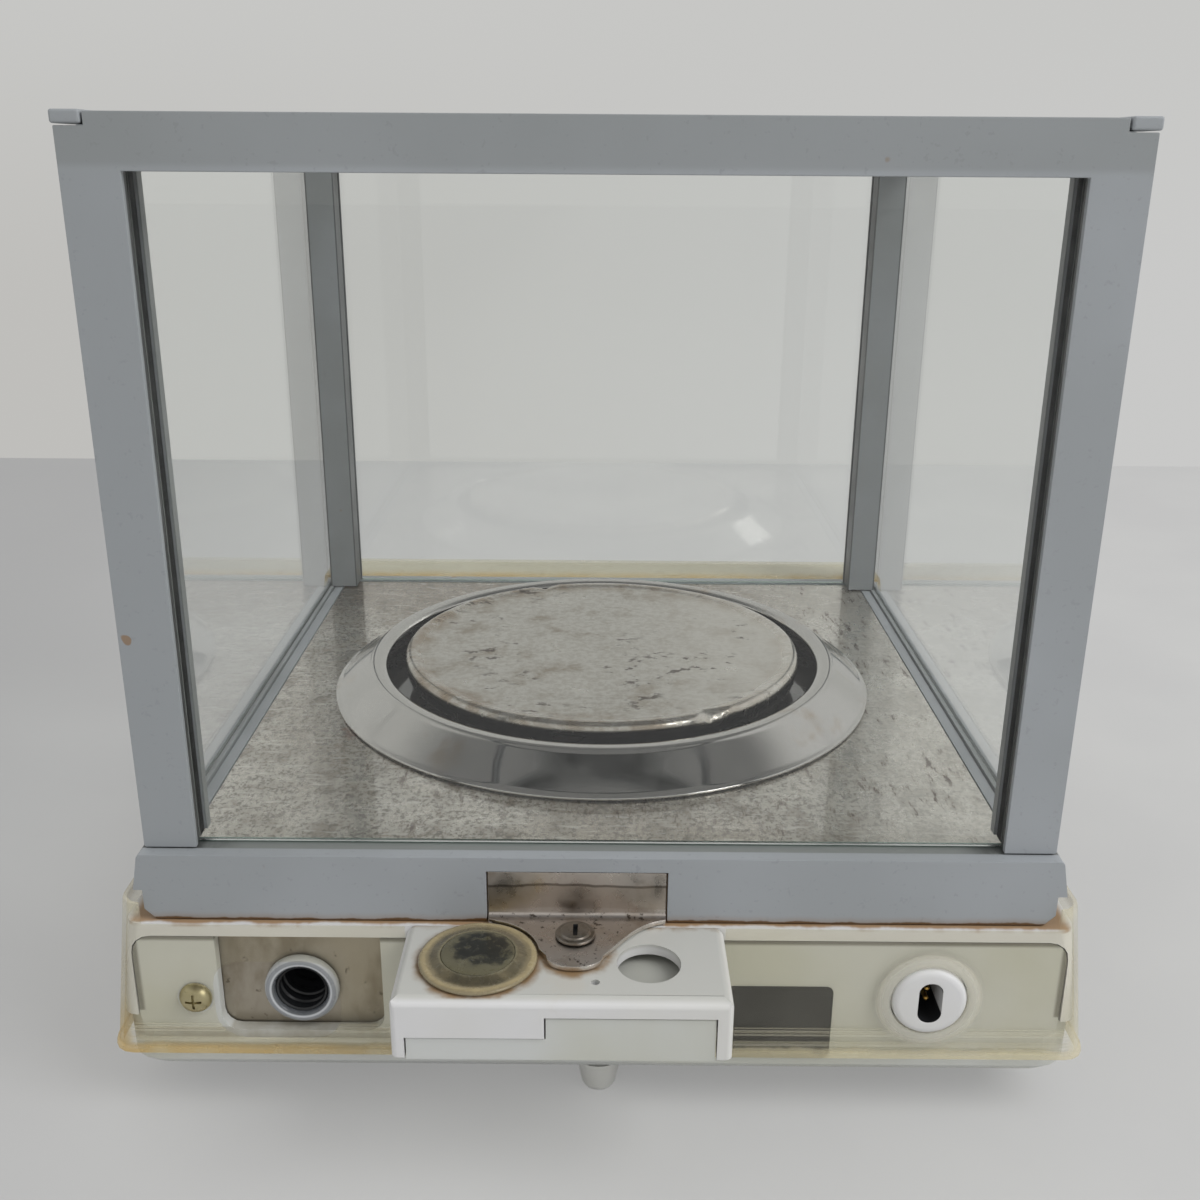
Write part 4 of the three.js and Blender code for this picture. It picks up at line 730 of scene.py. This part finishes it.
paint = greyPaint("greyPaint")
framePaint = greyPaint("greyPaintFrame", part="rear")
farPaint = greyPaint("greyPaintFar", part="far")
railPaint = greyPaint("greyPaintRail", part="rail")
skirtPaint = greyPaint("greyPaintSkirt", rustFrom=44.4)
housingWhite = whiteMoulding("whiteMoulding")
shelfWhite = whiteMoulding("whiteMouldingStained", stained=True)
trayGrey = plainMoulding("greyMoulding", trayLook)
trayPanel = plainMoulding("greyMouldingTray", trayLook, grimy=True)
film = agedFilm("agedFilm")
rubber = plainMoulding("blackRubber", rubberLook)
sealRubber = agedSeal("sealRubber")
blackPlastic = plainMoulding("blackPlastic", blackLook)
paleRubber = plainMoulding("paleRubber", paleFootLook, 1.2)
milky = milkyPlastic("milkyPlastic")
yellowed = yellowedPlastic("yellowedPlastic")
lensFinish = dirtyLens("dirtyLens")
floorSteel = stainedFloor("stainedFloorSteel")
panSteel = satinPan("satinPanSteel")
ringSteel = polishedRing("polishedRingSteel")
bracketSteel = stainedBracket("stainedBracketSteel")
bracketRim = stainedBracket("polishedBracketRim", polished=True)
plateSteel, plainSteel, zinc, lockSteel, aluminium, brass, copper = (wornMetal(name) for name in metals)
pane = clearGlass("clearGlass", (252, 253, 252))
paneEdge = clearGlass("glassEdge", (112, 140, 130), 0.25)
windowGlass = clearGlass("windowGlass", (206, 212, 206), 0.04)
labelFoil = bareLabel("bareLabel")
board = circuitBoard("circuitBoard")
screen = blankScreen("blankScreen")
print("finishes mixed")

# Softened mouldings and frames: how far the edges are rounded, the finish, and the nodes that share both
mouldings = [
    (0.3, trayPanel, "base_tray"), (0.3, housingWhite, "upper_housing"), (0.15, film, "protective_cover"),
    (0.3, skirtPaint, "base_skirt"), (0.15, floorSteel, "floor_plate"), (0.2, framePaint, "rear_frame"),
    (0.25, farPaint, "front_frame"), (0.15, sealRubber, "rear_gasket"),
    (0.12, railPaint, "lower_rail_left", "lower_rail_right"),
    (0.12, paint, "upper_rail_left", "upper_rail_right"),
    (0.3, paint, "corner_cap_left", "corner_cap_right"),
    (0.25, paint, "left_door_grip", "right_door_grip", "top_door_grip"),
    (0.12, plateSteel, "interface_plate"), (0.15, screen, "display_panel"),
    (0.35, trayGrey, "control_bar", "key_left", "key_right"),
    (0.2, blackPlastic, "foot_wheel_left", "foot_wheel_right"),
    (0.3, rubber, "foot_pad_left", "foot_pad_right"),
]
for edge, finish, *nodes in mouldings:
    for node in nodes:
        softCopy(node, finish, edge=edge)


# The shelf's front and side edges roll over more softly than the rest
shelfShape = {"top": 44.2, "chamfer": 0.6, "left": -38.2, "right": 24.6, "front": -27.3, "rear": 2.5,
              "roll": 0.7, "round": 0.7, "edge": 0.3}


def makeShelf():
    s = shelfShape
    piece = plainCopy("level_shelf")
    openEdit(piece)
    foot = s["top"] - s["chamfer"]
    slack = 0.3

    def rimAt(level, inset):
        def test(middle, way):
            x, y = middle.x / mm, middle.y / mm - rearFace
            rim = x < s["left"] + inset or x > s["right"] - inset or y < s["front"] + inset
            return rim and abs(middle.z - level * mm) < 0.05 * mm
        return test

    # the upper line of the chamfer goes in and the lower one down, then both are rounded
    pick(piece, rimAt(s["top"], slack + s["chamfer"]), "VERT")
    centre = spot((s["left"] + s["right"]) / 2, s["rear"], s["top"])
    half, deep = (s["right"] - s["left"]) / 2 - s["chamfer"], s["rear"] - s["front"] - s["chamfer"]
    bpy.ops.transform.resize(value=(1 - s["roll"] / half, 1 - s["roll"] / deep, 1), center_override=centre)
    pick(piece, rimAt(foot, slack), "VERT")
    bpy.ops.transform.translate(value=(0, 0, -s["roll"] * mm))
    upper, lower = rimAt(s["top"], slack + s["chamfer"] + s["roll"]), rimAt(foot - s["roll"], slack)
    pick(piece, lambda middle, way: abs(way.z) < 0.2 and (upper(middle, way) or lower(middle, way)))
    bpy.ops.mesh.bevel(offset=s["round"] * mm, segments=3, affect="EDGES", clamp_overlap=True)
    closeEdit()
    roundEdges(piece, s["edge"])
    fit(piece, shelfWhite)


makeShelf()
print("mouldings and frames softened")

# Glass: broad faces clear, ground edges greener. The number is the axis that the broad faces look along.
panes = {"rear_glass": 1, "front_glass": 1, "left_door_glass": 0, "right_door_glass": 0, "top_door_glass": 2}
for node, across in panes.items():
    sheet = softCopy(node, pane, paneEdge, edge=0.2, steps=1)
    dressFaces(sheet, lambda middle, way: abs(way[across]) < 0.9)
softCopy("display_window", windowGlass)
print("glass cut and ground")

# Weighing pan
panShape = {
    "outline": [(0, 66.4), (38, 66.4), (45.4, 66.42), (46.6, 66.48), (47.6, 66.62), (48.4, 66.86),
                (49.1, 67.04), (49.8, 67.1), (50.5, 66.98), (51.05, 66.62), (51.4, 66.05), (51.58, 65.3),
                (51.6, 64.4), (51.45, 63.2), (51.2, 62.1), (50.95, 61.75), (50.5, 61.7), (50.2, 61.95),
                (50.45, 63.2), (50.6, 64.6), (50.4, 65.4), (49.9, 65.75), (49.0, 65.8), (47.8, 65.5),
                (46, 65.4), (11, 65.4), (11, 59.9), (4.6, 59.9), (4.6, 64.4), (0, 64.4)],
    # each dent: where on the roll, how the edge was pushed, and how far the push spreads
    "dents": [((-17.6, 46.8, 67), (0.3, -1.6, -0.6), 3.4), ((26.2, -43.6, 66.6), (-0.9, 1.5, -0.4), 3.6),
              ((29.6, -41.2, 66.9), (0.2, -0.3, 0.35), 2.2)],
}


def makePan():
    x, y = panPlace
    piece = turnPiece("weighingPan", panShape["outline"], spot(x, y, 0), steps=144)
    openEdit(piece)
    for (dx, dy, z), push, spread in panShape["dents"]:
        target = spot(x + dx, y + dy, z)
        pick(piece, lambda middle, way: (middle - target).length < 0.0011, "VERT")
        bpy.ops.transform.translate(value=Vector(push) * mm, use_proportional_edit=True,
                                    proportional_edit_falloff="SMOOTH", proportional_size=spread * mm)
    closeEdit()
    evenShade(piece, 50)
    fit(piece, panSteel)


# Draft ring
ringOutline = [(68.4, 57.4), (69.5, 57.4), (69.7, 57.6), (69.68, 57.95), (69.45, 58.2), (69.0, 58.3),
               (68.6, 58.45), (68.2, 58.8), (64.5, 61.6), (61.0, 64.25), (60.55, 64.75), (60.3, 65.1),
               (59.9, 65.28), (59.5, 65.3), (58.3, 65.28), (57.4, 65.12), (56.75, 64.8), (56.35, 64.35),
               (56.25, 63.85), (56.5, 63.45), (57.1, 63.3), (57.8, 63.25), (58, 63.0), (58, 61.9),
               (58.2, 61.7), (58.8, 61.7), (59, 61.9), (59, 64.2), (59.6, 64.35), (60.2, 63.9), (68.4, 57.4)]

makePan()
turnWhole("draftRing", ringOutline, spot(*panPlace, 0), 50, ringSteel, steps=192)
print("pan and ring spun")

# Lock bracket: a pressed sheet with a tongue over the shelf and an upright flange
bracketShape = {
    "left": -22.1, "right": 13.1, "tipHalf": 5.4, "reach": 20.1, "neck": 15.22, "sheet": 1.0,
    "bendRadius": 1.6, "flangeY": -1.7, "tongueZ": 45.0, "top": 55.4, "edge": 0.42, "lockHole": 2.1,
    "levelHole": 11.6, "bendSteps": 8, "curveSteps": 14,
    # where each flank is pulled to: share of the way to the tip, and distance from the skirt
    "flanks": [(0.47, 4.6), (0.63, 9.0)],
}


# The place that lies this share of the way along a curve with two pulled points
def curve(points, share):
    rest = 1 - share
    pulls = (rest ** 3, 3 * rest * rest * share, 3 * rest * share * share, share ** 3)
    return [sum(point[i] * pull for point, pull in zip(points, pulls)) for i in (0, 1)]


def makeBracket():
    s = bracketShape
    bendY = s["flangeY"] - s["bendRadius"]
    tip = lockPlace[0]
    tipLeft, tipRight = tip - s["tipHalf"], tip + s["tipHalf"]

    def flank(corner, end):
        return [(corner, bendY)] + [(corner + (end - corner) * share, -out) for share, out in s["flanks"]] \
            + [(end, -s["neck"])]

    nose = [(tipLeft, -s["neck"]), (tipLeft, -s["reach"]), (tipRight, -s["reach"]), (tipRight, -s["neck"])]
    steps = s["curveSteps"]
    line = [curve(flank(s["left"], tipLeft), i / steps) for i in range(steps)]
    line += [curve(nose, i / steps) for i in range(steps)]
    line += [curve(flank(s["right"], tipRight), 1 - i / steps) for i in range(steps + 1)]
    piece = drawLine([spot(x, y, s["tongueZ"]) for x, y in line])
    bpy.ops.mesh.edge_face_add()
    closeEdit()
    settle(piece, "lockBracket")
    # the straight rear edge goes round the bend and up into the flange
    openEdit(piece)
    back = (bendY + rearFace) * mm
    pick(piece, lambda middle, way: abs(middle.y - back) < 1e-5 and abs(way.x) > 0.99)
    turns = [i / s["bendSteps"] * pi / 2 for i in range(s["bendSteps"] + 1)]
    arc = [(s["bendRadius"] * sin(turn), s["bendRadius"] * (1 - cos(turn))) for turn in turns]
    for (y0, z0), (y1, z1) in zip(arc, arc[1:]):
        pullOut(Vector((0, y1 - y0, z1 - z0)) * mm)
    pullOut((0, 0, (s["top"] - s["tongueZ"] - s["bendRadius"]) * mm))
    bpy.ops.mesh.select_all(action="SELECT")
    bpy.ops.mesh.normals_make_consistent(inside=False)
    closeEdit()
    apply(piece, "SOLIDIFY", thickness=s["sheet"] * mm, offset=0, use_even_offset=True)
    cutAway(piece, rodAt("lockHole", spot(*lockPlace, s["tongueZ"]), s["lockHole"], 4))
    cutAway(piece, rodAt("levelHole", spot(*levelPlace, s["tongueZ"]), s["levelHole"], 6, steps=96))
    roundEdges(piece, s["edge"], 3, 40)
    fit(piece, bracketSteel, bracketRim)
    # the tongue's cut edge is the brighter rim
    low, high = (s["tongueZ"] - 0.6) * mm, (s["tongueZ"] + 0.48) * mm
    dressFaces(piece, lambda middle, way: low < middle.z < high and abs(way.z) < 0.995)


lockShape = {
    "slot": (0.9, 3.8), "slotDepth": 1.0,
    "outline": [(0, 40.9), (1.8, 40.9), (1.8, 45.8), (3.9, 45.8), (3.9, 46.1), (3.75, 46.35), (3.4, 46.4),
                (3.1, 46.3), (2.9, 46.45), (2.75, 46.75), (2.2, 46.88), (0, 46.92)],
}


def makeLock():
    x, y = lockPlace
    piece = turnPiece("lockScrew", lockShape["outline"], spot(x, y, 0), steps=48)
    width, length = (value / 2 for value in lockShape["slot"])
    top = lockShape["outline"][-1][1]
    cutAway(piece, barAt("keySlot", spot(x - width, y - length, top - lockShape["slotDepth"]),
                         spot(x + width, y + length, top + 1)))
    roundEdges(piece, 0.06, 2, 40)
    fit(piece, lockSteel, rubber)
    # the walls and floor of the slot are dark
    width, length = width * 1.02, length * 1.02
    dressFaces(piece, within(spot(x - width, y - length, top - 1.1), spot(x + width, y + length, top - 0.2)))


# Bubble level
levelShape = {
    "body": [(0, 36.2), (9.3, 36.2), (9.5, 36.4), (9.5, 44.5), (11.2, 44.5), (11.3, 44.65), (11.25, 44.95),
             (10.9, 45.2), (10.3, 45.28), (9.8, 45.15), (9.4, 45.1), (8.9, 45.3), (8.2, 45.6), (7.6, 45.85),
             (7.25, 45.95), (7.1, 45.85), (7.1, 38.1), (0, 38.1)],
    "lens": [(0, 38.4), (7.05, 38.4), (7.05, 45.8), (6.9, 45.95), (6.2, 46.08), (4, 46.22), (2, 46.28),
             (0, 46.3)],
}

makeBracket()
makeLock()
turnWhole("levelBody", levelShape["body"], spot(*levelPlace, 0), 50, yellowed, steps=96)
turnWhole("levelLens", levelShape["lens"], spot(*levelPlace, 0), 50, lensFinish)
print("bracket, lock and level made")

# Data interface
interfaceShape = {
    "grommet": [(5.35, 2.9), (5.35, -2.0), (5.45, -2.55), (5.7, -2.9), (6.1, -3.08), (6.7, -3.1),
                (7.2, -2.9), (7.5, -2.5), (7.6, -1.9), (7.6, -1.3), (7.45, -1.1), (6.3, -1.1), (6.3, 2.9),
                (5.35, 2.9)],
    "socket": {"front": 3.2, "length": 10, "ribs": 3, "bore": 4.7, "outer": 6.9, "pinHole": 3.2},
    "sleeve": {"front": -2.1, "rear": 2.9, "outer": 5.3, "inner": 4.75, "rings": 2},
}


def makeInterface():
    x, z = socketPlace
    centre = spot(x, 0, z)
    turnWhole("interfaceGrommet", interfaceShape["grommet"], centre, 45, milky, True, 72)
    s = interfaceShape["socket"]
    front, floor = s["front"], s["front"] + s["length"] - 2
    pitch = (s["length"] - 2) / s["ribs"]
    outline = [(0, floor + 2), (s["outer"], floor + 2), (s["outer"], front)]
    for i in range(s["ribs"]):
        bore = s["bore"] - i * 0.2
        outline += [(bore, front + i * pitch), (bore - 0.1, front + (i + 0.35) * pitch),
                    (bore + 0.35, front + (i + 0.6) * pitch)]
    outline += [(s["pinHole"], floor), (0, floor)]
    turnWhole("interfaceSocket", outline, centre, 30, blackPlastic, True, 48)
    # ribbed sleeve that lines the grommet
    s = interfaceShape["sleeve"]
    pitch = (s["rear"] - s["front"]) / s["rings"]
    outline = [(s["outer"], s["rear"]), (s["outer"], s["front"]), (s["outer"] - 0.2, s["front"] - 0.15)]
    for i in range(s["rings"]):
        start = s["front"] + i * pitch
        outline += [(s["inner"], start + 0.1), (s["inner"] - 0.05, start + pitch * 0.55),
                    (s["inner"] + 0.35, start + pitch * 0.7), (s["inner"] + 0.35, start + pitch * 0.9)]
    outline += [(s["inner"], s["rear"]), (s["outer"], s["rear"])]
    turnWhole("socketSleeve", outline, centre, 30, blackPlastic, True, 72, slot="black_plastic")


# Power inlet
inletShape = {
    "slot": (2.4, 4.6), "slotFloor": 2.9, "slotRound": 0.93, "pins": 1.2, "pinHole": 0.85,
    "boss": [(0, -6.1), (6.0, -6.1), (6.7, -6.0), (7.2, -5.7), (7.5, -5.2), (7.6, -4.6), (7.6, 5.9),
             (0, 5.9)],
    "pin": [(0, -3.1), (0.3, -3.05), (0.48, -2.85), (0.55, -2.5), (0.55, 5.9), (0, 5.9)],
    "ring": [(7.75, -4.98), (7.78, -5.3), (8.1, -5.58), (8.7, -5.64), (9.4, -5.5), (10.1, -5.2),
             (10.6, -5.05), (10.6, -4.95), (7.75, -4.95), (7.75, -4.98)],
}


def makeInlet():
    s = inletShape
    x, z = inletPlace
    boss = turnPiece("inletBoss", s["boss"], spot(x, 0, z), True, 72)
    width, height = s["slot"]
    cutter = barAt("pinWell", spot(x - width, -8, z - height), spot(x + width, s["slotFloor"], z + height))
    roundBar(cutter, width * s["slotRound"], 8)
    cutAway(boss, cutter)
    for sign in (-1, 1):
        cutAway(boss, rodAt("pinHole", spot(x, 4, z + sign * s["pins"]), s["pinHole"], 10, True, 20))
    roundEdges(boss, 0.12, 2, 45)
    fit(boss, housingWhite, blackPlastic)
    # the slot is black inside
    width, height = width + 0.02, height + 0.02
    dressFaces(boss, within(spot(x - width, -4.6, z - height), spot(x + width, 5.5, z + height)))
    turnWhole("coverInletRing", s["ring"], spot(x, 0, z), 60, film, True, 72, slot="cover_film")
    for sign, name in ((1, "inletPinUpper"), (-1, "inletPinLower")):
        turnWhole(name, s["pin"], spot(x, 0, z + sign * s["pins"]), 50, brass, True, 20)


# Panel screw, rating plate and rear foot
screwShape = {
    "cross": (0.5, 3.3), "crossDepth": 0.9,
    "outline": [(0, -6.1), (0.8, -6.06), (1.6, -5.9), (2.3, -5.6), (2.85, -5.15), (3.2, -4.6), (3.35, -4.15),
                (3.3, -3.9), (1.6, -3.9), (1.6, 3.1), (0, 3.1)],
}


def makeScrew():
    x, z = screwPlace
    piece = turnPiece("panelScrew", screwShape["outline"], spot(x, 0, z), True, 48)
    width, length = (value / 2 for value in screwShape["cross"])
    floor = screwShape["outline"][0][1] + screwShape["crossDepth"]
    for across, up in ((width, length), (length, width)):
        cutAway(piece, barAt("crossBar", spot(x - across, -7, z - up), spot(x + across, floor, z + up)))
    roundEdges(piece, 0.07, 2, 40)
    fit(piece, zinc)


labelShape = {"low": (25.8, -3.8, 13), "high": (47.4, -3.6, 30.4), "corner": 1.5}


def makeLabel():
    piece = barAt("ratingPlate", spot(*labelShape["low"]), spot(*labelShape["high"]))
    roundBar(piece, labelShape["corner"], 6)
    roundEdges(piece, 0.05, 1, 40)
    fit(piece, labelFoil)


footOutline = [(0, 0), (2.6, 0), (3.2, 0.25), (3.55, 0.8), (3.75, 1.5), (4.25, 4.2), (4.8, 6.6), (5, 7.2),
               (4.9, 7.5), (2, 7.5), (2, 9.8), (0, 9.8)]

makeInterface()
makeInlet()
makeScrew()
makeLabel()
turnWhole("rearFoot", footOutline, spot(*footPlace, 0), 45, paleRubber, steps=48)
print("rear fittings made")

# Pieces inside, which keep their CAD shape
inside = {
    "main_board": board, "display_board": board, "case_screw_left": zinc, "case_screw_right": zinc,
    "pan_support": aluminium, "cell_base": aluminium, "load_carrier": aluminium, "cell_lever": aluminium,
    "magnet_pot": plainSteel, "cell_coil": copper, "upper_guide": plainSteel, "lower_guide": plainSteel,
}
for node, finish in inside.items():
    dress(frame["nodes"][node], finish)
print("inner pieces finished")

# Floor, light and camera
groundShape = {"far": 0.492, "near": 6, "width": 9}
groundLook = {"colour": (198, 198, 197), "roughness": 0.6, "shine": 0.2, "grain": (190, 190, 190),
              "leftShade": (168, 168, 168), "glow": 0.92, "lift": 0.5}


# What the camera sees, straight or in glass and metal, in place of what lights the balance
def seenRays(rays):
    return most(*(rays.outputs["Is %s Ray" % kind] for kind in ("Camera", "Glossy", "Transmission")))


def makeFloor():
    far, near, width = groundShape.values()
    clearSelection()
    bpy.ops.mesh.primitive_plane_add(size=1, location=(0, (far - near) / 2, 0))
    ground = bpy.context.object
    ground.scale = (width, far + near, 1)
    settle(ground, "floor")
    startFinish("paleFloor", groundLook)
    layer("grain", patchy(0, 0.5, 90, 4))
    layer("leftShade", fade(along("X"), -20, -300, 0, 0.8))
    setSurface(colour=bench["tint"])
    # the floor is seen half lit of itself, so the shadow stays soft and pale
    lit = addNode("Emission", {"Color": bench["tint"], "Strength": groundLook["glow"]})
    share = times(seenRays(addNode("LightPath")), groundLook["lift"])
    dress(ground, showAs(blend(share, bench["surface"], lit)))


skyLook = {"light": (255, 255, 255), "lightStrength": 0.8, "glowStrength": 0.7, "patchStrength": 4.5,
           "wall": (191, 190, 187), "wallRight": (201, 201, 200), "wallTop": (199, 199, 197),
           "ceiling": (118, 118, 118), "patch": (0.68, -0.6, 0.42)}


# Even white light from all round. What camera, metal and glass see instead is the pale wall, and a dim
# ceiling high above it.
def makeSky():
    s = skyLook
    world = bpy.data.worlds.new("studio")
    bpy.context.scene.world = world
    world.use_nodes = True
    world.node_tree.nodes.clear()
    bench.update(tree=world.node_tree, look=s, tint=s["wall"])

    def backdrop(colour, strength):
        return addNode("Background", {"Color": colour, "Strength": strength})

    way, rays = addNode("TexCoord").outputs["Generated"], addNode("LightPath")
    parts = addNode("SeparateXYZ", {"Vector": way}).outputs
    side, height = parts["X"], parts["Z"]
    glossy = rays.outputs["Is Glossy Ray"]
    layer("wallRight", fade(side, -0.5, 0.5))
    layer("wallTop", fade(height, -0.1, 0.15))
    layer("ceiling", fade(height, 0.56, 0.82))
    sky = blend(seenRays(rays), backdrop(s["light"], s["lightStrength"]), backdrop(bench["tint"], 1.0))
    # windows to the right that only metal and plastic mirror
    window = times(fade(side, 0.3, 0.75), fade(height, 0.12, 0.3), fade(height, 0.8, 0.6), glossy)
    sky = blend(window, sky, backdrop(s["light"], s["glowStrength"]))
    # a small bright patch that only rolled edges pick up
    near = addNode("VectorMath", {0: way, 1: Vector(s["patch"]).normalized()}, operation="DOT_PRODUCT")
    patch = times(fade(near.outputs["Value"], 0.975, 0.99), glossy)
    sky = blend(patch, sky, backdrop(s["light"], s["patchStrength"]))
    fill(addNode("OutputWorld"), "Surface", sky.outputs[0])


keyLamp = {"place": (0.95, -0.5, 1.15), "aim": (0, -0.02, 0.05), "size": 0.9, "power": 12}


def makeLamp():
    data = bpy.data.lights.new("softKey", "AREA")
    data.shape = "DISK"
    data.size = keyLamp["size"]
    data.energy = keyLamp["power"]
    lamp = bpy.data.objects.new("softKey", data)
    lamp.visible_glossy = False
    lamp.visible_transmission = False
    bpy.context.scene.collection.objects.link(lamp)
    lamp.location = keyLamp["place"]
    lamp.rotation_euler = (Vector(keyLamp["aim"]) - lamp.location).to_track_quat("-Z", "Y").to_euler()


photoView = {"place": (0.00008, -0.32445, 0.18695), "dip": 19.165, "heading": -0.121, "roll": 0.396,
             "lens": 37.608}


def makeCamera():
    data = bpy.data.cameras.new("photoCamera")
    data.sensor_fit = "HORIZONTAL"
    data.sensor_width = 36
    data.lens = photoView["lens"]
    data.clip_start = 0.01
    camera = bpy.data.objects.new("photoCamera", data)
    bpy.context.scene.collection.objects.link(camera)
    heading, dip, roll = (radians(photoView[key]) for key in ("heading", "dip", "roll"))
    ahead = Vector((sin(heading) * cos(dip), cos(heading) * cos(dip), -sin(dip)))
    right = Vector((cos(heading), -sin(heading), 0))
    up = right.cross(ahead)
    leanRight, leanUp = right * cos(roll) + up * sin(roll), up * cos(roll) - right * sin(roll)
    turn = Matrix((leanRight, leanUp, -ahead)).transposed()
    camera.matrix_world = Matrix.Translation(photoView["place"]) @ turn.to_4x4()
    bpy.context.scene.camera = camera


makeFloor()
makeSky()
makeLamp()
makeCamera()
bpy.context.scene.view_settings.view_transform = "Standard"
print("floor, light and camera set")
